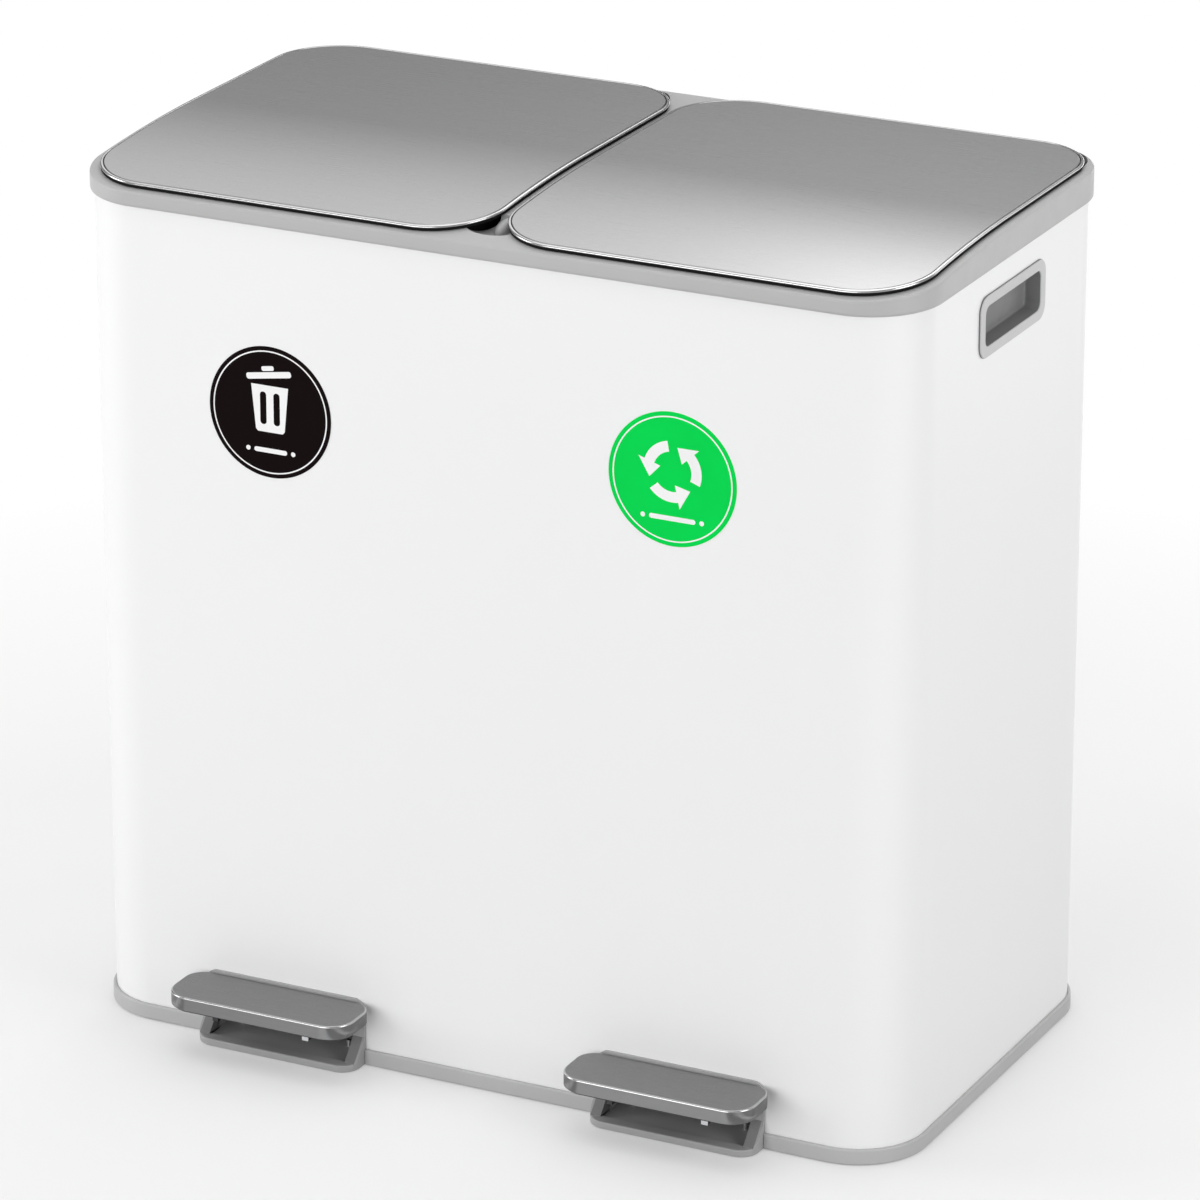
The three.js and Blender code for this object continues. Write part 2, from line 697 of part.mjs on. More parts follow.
function pedalLever(side) {
  const x = side * pedalX;
  const low = leverPivotZ - leverTailHeight / 2;
  const high = low + leverTailHeight;
  const arms = [-1, 1].map((end) => {
    const ax = x + end * leverForkHalf;
    return slab(leverProfile(), ax - leverSteel / 2, ax + leverSteel / 2);
  });
  const forkOuter = leverForkHalf + leverSteel / 2;
  const bridgeY = leverPivotY + leverBridgeReach;
  const bridge = box(x - forkOuter, x + forkOuter, bridgeY - leverSteel, bridgeY, low, high);
  const tail = box(x - leverSteel / 2, x + leverSteel / 2, bridgeY - leverSteel / 2,
    rodY + leverTailEnd, low, high);
  const hookRun = (rodY - leverPivotY) * (1 / Math.cos(pedalSwing()) - 1);
  const slotHalf = rodHookRadius + hookSlotSlack;
  const slot = box(x - leverSteel, x + leverSteel, rodY - slotHalf, rodY + hookRun + slotHalf,
    rodBottomZ - slotHalf, rodBottomZ + slotHalf);
  const hole = crossCylinder(x - 2 * leverForkHalf, x + 2 * leverForkHalf, leverPivotY, leverPivotZ,
    pivotPinRadius + pivotHoleClearance);
  return shaped(arms[0], [arms[1], bridge, tail, ...tabSlots(side, 0)], [slot, hole]);
}

// Turn of the lever that lifts its rod by the hook's travel at the lid
function pedalSwing() {
  const lift = 2 * lugReach * Math.sin(lugSwing);
  return Math.asin(lift / (rodY - leverPivotY));
}

function pivotPin(side) {
  const x = side * pedalX;
  const reach = saddleMiddle + saddleThick / 2 + pivotPinEnd;
  return crossCylinder(x - reach, x + reach, leverPivotY, leverPivotZ, pivotPinRadius);
}

// ---------------------------------------------------------------------------------------------
// Push rods: a straight wire from the lever's tail to the lid's lug, hooked at both ends

function pushRod(side) {
  const x = side * pedalX;
  const shaft = uprightCylinder(x + rodOffsetX, rodY, rodRadius,
    rodBottomZ - rodRadius, rodTopZ + rodRadius);
  const hooks = [rodBottomZ, rodTopZ].map((z) =>
    crossCylinder(x + rodOffsetX - rodHookReach, x + rodOffsetX, rodY, z, rodHookRadius));
  return shaped(shaft, hooks, []);
}

function rodGuide(side) {
  const x = side * pedalX + rodOffsetX;
  const rear = halfDepth - shellInset;
  const block = box(x - guideWidth / 2, x + guideWidth / 2, rear - guideThick, rear,
    guideZ, guideZ + 3 * guideHeight);
  const arm = box(x - guideHeight, x + guideHeight, rodY - 2 * rodRadius - guideLip, rear,
    guideZ, guideZ + guideHeight);
  const hole = uprightCylinder(x, rodY, rodRadius + guideHoleClearance,
    guideZ - 1, guideZ + guideHeight + 1);
  return shaped(block, [arm], [hole]);
}

// ---------------------------------------------------------------------------------------------
// Top rim: grey frame on the body's top edge, with a pocket and a mouth for each bucket

const hingePlaces = [];
for (const [side, hand] of [[-1, 'left'], [1, 'right']]) {
  for (const [end, tag] of [[-1, 'a'], [1, 'b']]) {
    const x = side * lidMiddleX + end * hingePitch / 2;
    hingePlaces.push({ name: `hinge_pin_${hand}_${tag}`, side, x });
  }
}

function mouthOutline(side) {
  const o = outline(barWidth / 2 + mouthBarLedge, halfWidth - pocketInset - mouthSideLedge,
    -halfDepth + pocketInset + mouthFrontLedge, halfDepth - mouthRearLedge, mouthCornerRadius);
  return mirrored(o, side);
}

function topRim() {
  const rimTop = (y) => lidTopAt(y) - rimBelowLid;
  const outer = grow(bodyOutline, rimOutset);
  const foot = (inset, z) => ringPoints(grow(outer, -inset), () => z, lidLevels);
  const crown = edgeRound(rimEdgeRound, 2).map(([inset, drop]) =>
    ringPoints(grow(outer, -inset), (y) => rimTop(y) - drop, lidLevels));
  const block = loft([foot(rimEdgeRound / 2, rimBottomZ), foot(0, rimBottomZ + rimEdgeRound), ...crown]);
  const skirt = tube(grow(bodyOutline, -shellInset), grow(bodyOutline, -shellInset - rimSkirtWall),
    rimBottomZ - rimSkirtDrop, rimBottomZ + 1);
  const groove = tube(grow(bodyOutline, gap), grow(bodyOutline, -shellInset),
    rimBottomZ - 1, shellTopZ + gap);
  const added = [skirt];
  const removed = [groove];
  for (const side of [-1, 1]) {
    const pocket = outline(barWidth / 2, halfWidth - pocketInset, -halfDepth + pocketInset,
      halfDepth + pocketRearOutset, pocketFrontRadius, pocketRearRadius);
    removed.push(prism(mirrored(pocket, side), pocketFloorZ, lidTopZ + 10));
    removed.push(prism(mouthOutline(side), rimBottomZ - 1, pocketFloorZ + 1));
    const x = side * pedalX;
    removed.push(box(x - lugWidth / 2 - rodSlotSide, x + rodOffsetX + 2 * rodRadius,
      rodY - rodSlotFront, hingeY - hingeEyeRadius, rimBottomZ - 1, pocketFloorZ + 1));
  }
  let s = solid(shaped(block, added, removed));
  s = s.subtract(scoop(rimTop));
  for (const { x } of hingePlaces) {
    for (const end of [-1, 1]) {
      const near = x + end * (knuckleWidth / 2 + gap);
      const far = near + end * earWidth;
      const [x0, x1] = [Math.min(near, far), Math.max(near, far)];
      s = s.add(solid(box(x0, x1, hingeY - hingeEyeRadius, hingeY + hingeEyeRadius,
        pocketFloorZ - 1, hingeZ)));
      s = s.add(solid(crossCylinder(x0, x1, hingeY, hingeZ, hingeEyeRadius)));
    }
    const reach = knuckleWidth / 2 + gap + earWidth + 1;
    s = s.subtract(solid(crossCylinder(x - reach, x + reach, hingeY, hingeZ,
      hingePinRadius + hingeHoleClearance)));
  }
  return geometryOf(s);
}

// The bowl moulded in front of the bar between the lids; the bar's nose stands in it
function scoop(rimTop) {
  const y = -halfDepth + scoopFrontY + scoopRadiusY;
  const bowl = new THREE.SphereGeometry(1, 16, 8).scale(scoopRadiusX, scoopRadiusY, scoopDepth);
  const top = rimTop(y);
  const nose = outline(-barWidth / 2, barWidth / 2, y - 4, y + 2 * scoopRadiusY, barWidth / 2 - 0.1);
  const bar = prism(nose, top - 2 * scoopDepth, top + scoopDepth);
  return solid(bowl.translate(0, y, top)).subtract(solid(bar));
}

// ---------------------------------------------------------------------------------------------
// Lids: a brushed steel skin over a plastic liner that carries the hinge knuckles and the lug

function lidOutline(side) {
  const o = outline(lidHalf.inner, lidHalf.outer, lidFrontY, halfDepth - lidEdgeInset, lidCornerRadius);
  return mirrored(o, side);
}

function lidSkin(side) {
  const inner = [[2 * lidSteel, lidSteel], [lidSteel, 2 * lidSteel], [lidSteel, lidEdgeHeight],
    [0, lidEdgeHeight]];
  const steps = [...inner, ...edgeRound(lidEdgeRound, 2)];
  return loftProfile(lidOutline(side), steps, lidTopAt, lidLevels);
}

function lidLiner(side) {
  const o = lidOutline(side);
  const under = (y) => lidTopAt(y) - lidSteel - gap;
  const plate = loftProfile(grow(o, -linerInset),
    [[0, linerPlate], [0, linerBevel], [linerBevel, 0]], under, lidLevels);
  const walls = grow(o, -linerWallInset);
  walls.y1 = o.y1 - linerRearSetback;
  const wallBlock = (w) => loft([ringPoints(w, () => linerBottomZ, lidLevels),
    ringPoints(w, (y) => under(y) - linerPlate / 2, lidLevels)]);
  const x = side * pedalX;
  const frame = solid(wallBlock(walls))
    .subtract(solid(prism(grow(walls, -linerWall), linerBottomZ - 1, lidTopZ)))
    .subtract(solid(box(x - lugWidth / 2 - linerGateSide, x + rodOffsetX + 2 * rodRadius + 1,
      walls.y1 - linerWall - 1, walls.y1 + 1, linerBottomZ - 1, lidTopZ)));
  let s = solid(plate).add(frame);
  const plateZ = under(hingeY) - linerPlate / 2;
  for (const { x: hx } of hingePlaces.filter((p) => p.side === side)) {
    const [x0, x1] = [hx - knuckleWidth / 2, hx + knuckleWidth / 2];
    const notch = earWidth + 2 * gap;
    s = s.subtract(solid(box(x0 - notch, x1 + notch, hingeY - hingeEyeRadius - 1, o.y1,
      hingeZ, lidTopZ)));
    s = s.add(solid(crossCylinder(x0, x1, hingeY, hingeZ, hingeEyeRadius)));
    s = s.add(solid(box(x0, x1, hingeY - hingeEyeRadius - 3, o.y1 - linerInset, hingeZ, plateZ)));
    s = s.subtract(solid(crossCylinder(x0 - 1, x1 + 1, hingeY, hingeZ,
      hingePinRadius + hingeHoleClearance)));
  }
  return geometryOf(s.add(lug(x, plateZ)));
}

// The lug under the liner that the rod's hook lifts: a cheek with a slot along its reach
function lug(x, plateZ) {
  const near = lugReach * Math.cos(lugSwing);
  const along = (r) => [hingeY - r * Math.cos(lugSwing), hingeZ - r * Math.sin(lugSwing)];
  const slotRadius = rodHookRadius + lugSlotSlack;
  const outer = slotRadius + lugBorder;
  const [x0, x1] = [x - lugWidth / 2, x + lugWidth / 2];
  const [tipY, tipZ] = along(lugReach);
  const [heelY, heelZ] = along(near);
  const web = slab([[tipY - outer, plateZ], [tipY - outer, tipZ], [heelY + outer, heelZ],
    [hingeY - hingeEyeRadius, plateZ]], x0, x1);
  let s = solid(crossCylinder(x0, x1, tipY, tipZ, outer));
  s = s.add(solid(crossCylinder(x0, x1, heelY, heelZ, outer))).add(solid(web));
  const slot = crossCylinder(-1, lugWidth + 1, 0, 0, slotRadius);
  const run = lugReach - near;
  const middle = box(-1, lugWidth + 1, -run, 0, -slotRadius, slotRadius);
  const slotSolid = solid(slot).add(solid(slot.clone().translate(0, -run, 0))).add(solid(middle));
  const cutter = geometryOf(slotSolid).rotateX(lugSwing).translate(x0, heelY, heelZ);
  return s.subtract(solid(cutter));
}

function hingePin(x) {
  const reach = knuckleWidth / 2 + gap + earWidth;
  return crossCylinder(x - reach, x + reach, hingeY, hingeZ, hingePinRadius);
}

// ---------------------------------------------------------------------------------------------
// Inner buckets: tapered tubs lifted out by their turned-down flange

function bucket(side) {
  const o = grow(mouthOutline(side), -bucketMouthGap);
  const height = bucketTopZ - shelfTopZ - gap;
  const wallTop = bucketFlange;
  const foot = bucketFlange + bucketTaper;
  const steps = [[foot + bucketFootChamfer, height], [foot, height - bucketFootChamfer],
    [wallTop, bucketWall], [bucketLipWall, bucketWall], [bucketLipWall, bucketLip], [0, bucketLip], [0, 0],
    [wallTop + bucketWall, 0], [foot + bucketWall, height - bucketWall]];
  return loftProfile(o, steps, () => bucketTopZ);
}

// ---------------------------------------------------------------------------------------------
// Labels

function label(x) {
  const g = new THREE.CylinderGeometry(labelRadius, labelRadius, labelThick, 48);
  return g.translate(x, -halfDepth - labelThick / 2, labelZ);
}

// ---------------------------------------------------------------------------------------------
// Assembly

place('outer_body', outerBody(), 'whiteSteel');
place('top_rim', topRim(), 'greyPlastic');
place('base_tray', baseTray(), 'greyPlastic');
place('bucket_shelf', bucketShelf(), 'darkPlastic');
for (const { name, x, y } of footPlaces) {
  place(name, foot(x, y), 'rubber');
}
for (const { tag, x, y } of postPlaces) {
  place(`shelf_post_${tag}`, shelfPost(x, y), 'darkPlastic');
  const fastener = screw(x, y, shelfTopZ, true, screwHeadRadius, screwHeadHeight, screwShankRadius,
    screwLength);
  place(`shelf_screw_${tag}`, fastener, 'zincSteel');
}
for (const { name, x, y } of housingScrewPlaces) {
  const seat = trayBottomZ + gap + housingScrewHeadHeight;
  place(name, screw(x, y, seat, false, housingScrewHead, housingScrewHeadHeight, housingScrewRadius,
    housingScrewTopZ - seat), 'zincSteel');
}
for (const { name, x } of hingePlaces) {
  place(name, hingePin(x), 'zincSteel');
}
place('label_left', label(labelLeftInset - halfWidth), 'blackLabel');
place('label_right', label(halfWidth - labelRightInset), 'greenLabel');

for (const [side, hand] of [[-1, 'left'], [1, 'right']]) {
  place(`handle_cup_${hand}`, handleCup(side), 'greyPlastic');
  place(`pedal_housing_${hand}`, pedalHousing(side), 'greyPlastic');
  place(`pedal_pin_${hand}`, pivotPin(side), 'zincSteel');
  place(`rod_guide_${hand}`, rodGuide(side), 'darkPlastic');
  for (const [end, tag] of [[-1, 'a'], [1, 'b']]) {
    const x = side * lidMiddleX + end * bumperHalfPitch;
    const y = -halfDepth + pocketInset + mouthFrontLedge / 2 + bumperRadius / 5;
    const bumper = uprightCylinder(x, y, bumperRadius, pocketFloorZ, linerBottomZ - gap, screwSides);
    place(`lid_bumper_${hand}_${tag}`, bumper, 'rubber');
  }
  place(`lid_skin_${hand}`, lidSkin(side), 'brushedSteel');
  place(`lid_liner_${hand}`, lidLiner(side), 'darkPlastic');
  place(`pedal_plate_${hand}`, pedalPlate(side), 'brushedSteel');
  place(`pedal_core_${hand}`, pedalCore(side), 'darkPlastic');
  place(`pedal_lever_${hand}`, pedalLever(side), 'zincSteel');
  place(`push_rod_${hand}`, pushRod(side), 'zincSteel');
  place(`bucket_${hand}`, bucket(side), 'bucketPlastic');
}

// The origin lies under the middle of the whole object, pedals and rim included
bin.position.y = -(plateFrontY + rimRearY) / 2;

export default bin;
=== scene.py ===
"""A double pedal recycling bin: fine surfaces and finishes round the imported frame.

Metres, +Z up, the front with the pedals towards -Y. Each piece stands where its CAD node stands.
"""

import json
import math
from collections import namedtuple

import bmesh
import bpy
from mathutils import Matrix, Vector


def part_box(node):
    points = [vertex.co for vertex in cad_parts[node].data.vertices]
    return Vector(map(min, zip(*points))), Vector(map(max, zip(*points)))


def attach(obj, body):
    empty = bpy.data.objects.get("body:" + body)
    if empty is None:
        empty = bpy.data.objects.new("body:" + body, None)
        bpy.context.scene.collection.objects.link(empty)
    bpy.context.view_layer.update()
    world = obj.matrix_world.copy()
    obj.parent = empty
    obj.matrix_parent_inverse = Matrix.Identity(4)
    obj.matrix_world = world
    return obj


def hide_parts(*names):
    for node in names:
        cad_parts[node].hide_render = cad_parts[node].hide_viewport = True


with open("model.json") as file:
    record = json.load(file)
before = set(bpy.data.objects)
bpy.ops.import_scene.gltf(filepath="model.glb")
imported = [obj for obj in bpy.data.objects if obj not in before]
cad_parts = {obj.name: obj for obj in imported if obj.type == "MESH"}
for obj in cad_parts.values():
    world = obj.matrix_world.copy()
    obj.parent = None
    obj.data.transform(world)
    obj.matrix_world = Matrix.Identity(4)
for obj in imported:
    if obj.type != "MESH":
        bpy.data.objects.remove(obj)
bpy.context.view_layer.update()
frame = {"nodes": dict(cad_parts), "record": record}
nodes = frame["nodes"]
mm = 0.001

# ------------------------
# Sizes and places, from the frame and a few radii of its pieces

body_lo, body_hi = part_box("outer_body")
rim_lo, rim_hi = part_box("top_rim")
tray_lo, tray_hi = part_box("base_tray")
MID_Y = (body_lo.y + body_hi.y) / 2
HALF_WIDTH = (body_hi.x - body_lo.x) / 2
HALF_DEPTH = (body_hi.y - body_lo.y) / 2
GAP = 0.3 * mm
OVERCUT = 5 * mm                   # how far a cutting tool stands past the face it cuts
CARVED_ROUND = 0.35 * mm           # edge round of the carved pieces

BODY_RADIUS = 46.7 * mm
SHELL_WALL = 0.8 * mm

LID_RADIUS = 47 * mm
LID_EDGE = 2.2 * mm
LID_STEEL = 0.8 * mm
BEAD_WIDTH = 2.1 * mm
BEAD_HEIGHT = 1.5 * mm
BEAD_ROUND = 1.1 * mm
CREASE = 0.5 * mm
CREASE_ROUND = 0.3 * mm
LID_HEM = 0.2 * mm                 # inset of the bead's lower edge
BEAD_CHAMFER = 0.4 * mm
LINER_INSET = 1.2 * mm
LINER_EDGE = 0.45 * mm             # inset of the dark edge seen under the steel, which paints the shadow gap between lid and rim
LINER_PLATE = 2.2 * mm
LINER_WALL = 2 * mm
LINER_BREAK = 0.1 * mm
LINER_CHAMFER = 0.6 * mm
LINER_CLEAR = 1.5 * mm             # air under its walls, over the rim's pocket
LINER_WALL_INSET = 8 * mm
LINER_WALL_REAR = 24.3 * mm

RIM_BELOW_LID = 3.8 * mm
RIM_EDGE_TOP = 1.4 * mm
RIM_EDGE_BOTTOM = 2.6 * mm
RIM_FACE_Z = 568.7 * mm
RIM_SKIRT_WALL = 2.5 * mm
POCKET_FLOOR_Z = 573.5 * mm
POCKET_INSET = 6 * mm
POCKET_REAR_OUTSET = 1.2 * mm
POCKET_FRONT_RADIUS = 53 * mm
POCKET_REAR_RADIUS = 34 * mm
POCKET_INNER_OVAL = (27 * mm, 80 * mm)   # half-axes of its rear corner beside the bar
BAR_WIDTH = 7 * mm
MOUTH_SIDE = 6 * mm
MOUTH_FRONT = 7.8 * mm
MOUTH_BAR = 5.5 * mm
MOUTH_REAR = 42.8 * mm
MOUTH_RADIUS = 30 * mm
SCOOP_FRONT = 12 * mm
SCOOP_SIZE = (21 * mm, 17 * mm, 7.5 * mm)
NOSE_SIZE = (6.5 * mm, 17 * mm, 7.7 * mm)

HINGE_KNUCKLE = 12 * mm
HINGE_EAR = 4 * mm
HINGE_EYE = 3.4 * mm
KNUCKLE_ROOT = 3 * mm
LUG_WIDTH = 6 * mm
LUG_REACH = 22 * mm                # from the hinge to the rod's hook, lid closed
LUG_SWING = math.radians(40)       # half of the lid's swing, at which the lug points level
LUG_SLOT = 3.2 * mm
LUG_WALL = 3.5 * mm
ROD_RADIUS = 2.5 * mm
ROD_OFFSET = 8 * mm
ROD_INSET = 22.15 * mm             # rod's axis from the body's rear face
ROD_SLOT_SIDE = 4 * mm             # air beside the lug in the rim's slot
ROD_SLOT_FRONT = 10 * mm

TRAY_FLOOR_TOP = 3.5 * mm
RING_TOP = 11.3 * mm
RING_ROUND = 1.2 * mm
UPSTAND_TOP = 14.5 * mm
UPSTAND_WALL = 2 * mm
TRAY_CHAMFER = 0.8 * mm
SADDLE_HALF = 6 * mm
SADDLE_THICK = 6 * mm
SADDLE_RISE = 1.5 * mm             # centre of its round top over the pin's axis
PIN_END = 1.5 * mm                 # length of the pin left free beyond its saddle

FOOT_TREAD = ((0, 0.5), (3, 0.5), (3.4, 0), (6.6, 0), (7, 0.5), (8.6, 0.5), (9, 0))   # radius, height, in mm
FOOT_CHAMFER = 0.6 * mm
FOOT_GROOVE = 0.5 * mm

PLATE_ROUND = 1.1 * mm
PLATE_STEEL = 1.2 * mm
PLATE_SKIRT = 9.6 * mm
PLATE_HEM = 0.4 * mm
PLATE_FRONT_RADIUS = 17.5 * mm
PLATE_REAR_RADIUS = 14 * mm
PAD_CHAMFER = 0.6 * mm
PAD_SKIN = 0.7 * mm                # plastic left over the fork's tabs
FORK_HALF = 34 * mm
FORK_STEEL = 4 * mm
FORK_TAB_INSET = 12 * mm
FORK_UNDER = 26.5 * mm             # underside of the fork's arms
FORK_CAP = (4.8 * mm, 0.8 * mm, 4.2 * mm)   # small bright end before the right arm

LIP_TOP = 5.5 * mm
LIP_RADIUS = 13 * mm
LIP_STEP = 0.9 * mm
LIP_ROUND = 1 * mm
LIP_CHAMFER = 0.5 * mm
LIP_BEHIND = 40 * mm               # reach of the lip's draft behind the wall, cut off again
FLANGE_THICK = 1.7 * mm
FLANGE_RADIUS = 8 * mm
CHEEK_THICK = 8.7 * mm
CHEEK_SKIN = 1.6 * mm              # outer part of a cheek, one with the lip; the inner part takes a darker grey that paints the pedal's shade
CHEEK_REACH = 14.7 * mm
CHEEK_TOP = 20 * mm
CHEEK_SAG = 0.8 * mm               # hollow of its sloping edge
CHEEK_STEPS = 8
DUCT_WALL = 2.5 * mm
DUCT_BOTTOM = 3.8 * mm
DUCT_TOP = 38.3 * mm

GRIP = (87.8 * mm, 26.6 * mm)
GRIP_RADIUS = 5.5 * mm
GRIP_DEPTH = 9.6 * mm
GRIP_DRAFT = 1.2 * mm
GRIP_FILLET = 1.6 * mm
BEZEL_RADIUS = 10 * mm
BEZEL_ROUND = 0.6 * mm
BEZEL_FACE = 0.7 * mm              # thickness of the lighter face on the cup's flange; the flange's edges below it take the cup's darker grey, a painted shadow line
BEZEL_INSET = 0.15 * mm
BEZEL_SEAM = 0.1 * mm
CUP_WALL = 1.5 * mm

BUCKET_FLANGE = 6 * mm
BUCKET_LIP = 8 * mm
BUCKET_LIP_WALL = 1.5 * mm
BUCKET_WALL = 2.2 * mm
BUCKET_TAPER = 10 * mm
BUCKET_FOOT = 8 * mm
BUCKET_CHAMFER = 0.3 * mm
BUCKET_ROUND = 1.2 * mm

LABEL_RING = (40.6 * mm, 41.5 * mm)
PRINT_THICK = 0.05 * mm

CORNER_STEPS = 20
EDGE_STEPS = 5
FINE_EDGE_STEPS = 4
BODY_STEPS = 32
RIM_STEPS = 24
RIM_RUNS = 24                      # points along each side of the bowed rim
LIP_STEPS = 14
CUP_STEPS = 10
LID_STEPS = 28
LID_RUNS = 40
LINER_RUNS = 30
ARC_STEPS = 16

CAMERA_AZIMUTH = math.radians(26.483)
CAMERA_ELEVATION = math.radians(20.645)
CAMERA_DISTANCE = 4.3878
CAMERA_TARGET = Vector((0.00652, MID_Y, 0.2882))
CAMERA_LENS = 199.93
SENSOR = 36


# ------------------------
# Outlines: rectangles seen from above, with radius r at the front corners and rear at the rear ones.
# Where rear_y is given, the rear corners are ovals that reach that far along Y.
Outline = namedtuple("Outline", "x0 x1 y0 y1 r rear rear_y", defaults=(0,))


def grow(o, d):
    return Outline(o.x0 - d, o.x1 + d, o.y0 - d, o.y1 + d, max(o.r + d, mm / 2), max(o.rear + d, mm / 2))


def mirrored(o, side):
    return o if side > 0 else o._replace(x0=-o.x1, x1=-o.x0)


def ring(o, height, corner=CORNER_STEPS, sides=1):
    """One loop of points round an outline; height is a number or a function of y."""
    right = []
    for i in range(corner + 1):
        a = i / corner * math.pi / 2
        right.append((o.x1 - o.r + o.r * math.sin(a), o.y0 + o.r - o.r * math.cos(a)))
    rear_y = o.rear_y or o.rear
    y0, y1 = o.y0 + o.r, o.y1 - rear_y
    for i in range(1, sides):
        right.append((o.x1, y0 + (y1 - y0) * i / sides))
    for i in range(corner + 1):
        a = i / corner * math.pi / 2
        right.append((o.x1 - o.rear + o.rear * math.cos(a), y1 + rear_y * math.sin(a)))
    left = [(o.x0 + o.x1 - x, y) for x, y in reversed(right)]
    at = height if callable(height) else lambda y: height
    return [Vector((x, y, at(y))) for x, y in right + left]


def rings(loops, corner=CORNER_STEPS, sides=1):
    return [ring(o, height, corner, sides) for o, height in loops]


def quarter(radius, steps=EDGE_STEPS):
    """A quarter round from a side face up to a top face, as (inset, drop) steps."""
    turns = [i / steps * math.pi / 2 for i in range(steps + 1)]
    return [(radius * (1 - math.cos(a)), radius * (1 - math.sin(a))) for a in turns]


def crown(o, radius, top):
    """The loops of a round edge that closes in to a top face."""
    return [(grow(o, -inset), top - drop) for inset, drop in quarter(radius, FINE_EDGE_STEPS)]


# ------------------------
# Meshes

def placed(name, data):
    obj = bpy.data.objects.new(name, data)
    bpy.context.scene.collection.objects.link(obj)
    return obj


def mesh_object(name, bm):
    bmesh.ops.remove_doubles(bm, verts=bm.verts, dist=1e-6)
    bmesh.ops.recalc_face_normals(bm, faces=bm.faces)
    mesh = bpy.data.meshes.new(name)
    bm.to_mesh(mesh)
    bm.free()
    return placed(name, mesh)


def loft(name, rings, closed=False):
    """A skin through loops of points, its ends closed by level strips or by joining last to first."""
    bm = bmesh.new()
    loops = [[bm.verts.new(p) for p in r] for r in rings]
    n = len(loops[0])
    pairs = list(zip(loops, loops[1:]))
    if closed:
        pairs.append((loops[-1], loops[0]))
    for low, high in pairs:
        for i in range(n):
            j = (i + 1) % n
            bm.faces.new((low[i], low[j], high[j], high[i]))
    if not closed:
        for loop in (loops[0], loops[-1]):
            for i in range(n // 2 - 1):
                bm.faces.new((loop[i], loop[i + 1], loop[n - 2 - i], loop[n - 1 - i]))
    return mesh_object(name, bm)


def profile_loft(name, o, steps, face, corner=CORNER_STEPS, sides=1, closed=False):
    """Loops given as (inset, drop under a reference face) steps, from one outline."""
    def at(drop):
        return (lambda y: face(y) - drop) if callable(face) else face - drop
    return loft(name, [ring(grow(o, -inset), at(drop), corner, sides) for inset, drop in steps], closed)


def prism(name, o, z0, z1, corner=CORNER_STEPS):
    return loft(name, rings([(o, z0), (o, z1)], corner))


def wall(name, outer, inner, low, high, corner=CORNER_STEPS, sides=1):
    """A hollow wall between two outlines."""
    loops = [(outer, low), (outer, high), (inner, high), (inner, low)]
    return loft(name, rings(loops, corner, sides), closed=True)


def box(name, x0, x1, y0, y1, z0, z1):
    bm = bmesh.new()
    bmesh.ops.create_cube(bm, size=1)
    middle = Vector(((x0 + x1) / 2, (y0 + y1) / 2, (z0 + z1) / 2))
    size = Matrix.Diagonal((x1 - x0, y1 - y0, z1 - z0, 1))
    bmesh.ops.transform(bm, matrix=Matrix.Translation(middle) @ size, verts=bm.verts)
    return mesh_object(name, bm)


def bridged(name, near, far):
    """A solid between two equal outlines."""
    bm = bmesh.new()
    ends = [[bm.verts.new(point) for point in outline] for outline in (near, far)]
    for i in range(len(near)):
        j = (i + 1) % len(near)
        bm.faces.new((ends[0][i], ends[0][j], ends[1][j], ends[1][i]))
    bm.faces.new(ends[0])
    bm.faces.new(ends[1])
    return mesh_object(name, bm)


def slab(name, points, x0, x1):
    """A side profile of (y, z) points, extruded across X."""
    return bridged(name, *([(x, y, z) for y, z in points] for x in (x0, x1)))


def upright_plate(name, outline, y0, y1):
    """A plate standing across Y, from an outline of (x, z) points."""
    return bridged(name, *([(x, y, z) for x, z in outline] for y in (y0, y1)))


def arc(u, v, r, start, sweep, steps=ARC_STEPS):
    """Points on a turn about (u, v), from one angle over a sweep in radians."""
    turns = [start + sweep * i / steps for i in range(steps + 1)]
    return [(u + r * math.cos(a), v + r * math.sin(a)) for a in turns]


def lathe(name, profile, middle, axis="Z", sides=48):
    """A profile of (radius, height) points turned about an axis through middle."""
    bm = bmesh.new()
    loops = []
    for r, h in profile:
        if r == 0:
            loops.append([bm.verts.new((0, 0, h))] * sides)
            continue
        turns = [2 * math.pi * i / sides for i in range(sides)]
        loops.append([bm.verts.new((r * math.cos(a), r * math.sin(a), h)) for a in turns])
    for low, high in zip(loops, loops[1:]):
        for i in range(sides):
            j = (i + 1) % sides
            corners = list(dict.fromkeys((low[i], low[j], high[j], high[i])))
            bm.faces.new(corners)
    turn = {
        "Z": Matrix.Identity(4),
        "X": Matrix.Rotation(math.pi / 2, 4, "Y"),
        "-Y": Matrix.Rotation(math.pi / 2, 4, "X"),
    }[axis]
    bmesh.ops.transform(bm, matrix=Matrix.Translation(middle) @ turn, verts=bm.verts)
    return mesh_object(name, bm)


def rod(name, x0, x1, y, z, r, sides=32):
    return lathe(name, [(0, x0), (r, x0), (r, x1), (0, x1)], Vector((0, y, z)), "X", sides)


def cut(tool):
    return "DIFFERENCE", tool


def carve(base, *steps):
    """Joins and cuts a solid by others, in order: ("UNION" or "DIFFERENCE", tool)."""
    for operation, tool in steps:
        step = base.modifiers.new(tool.name, "BOOLEAN")
        step.operation = operation
        step.solver = "EXACT"
        step.object = tool
    graph = bpy.context.evaluated_depsgraph_get()
    mesh = bpy.data.meshes.new_from_object(base.evaluated_get(graph))
    base.modifiers.clear()
    base.data = mesh
    for _, tool in steps:
        bpy.data.objects.remove(tool)
    return base


def joined(name, parts):
    """Several meshes as one object."""
    bm = bmesh.new()
    for part in parts:
        bm.from_mesh(part.data)
        bpy.data.objects.remove(part)
    return mesh_object(name, bm)


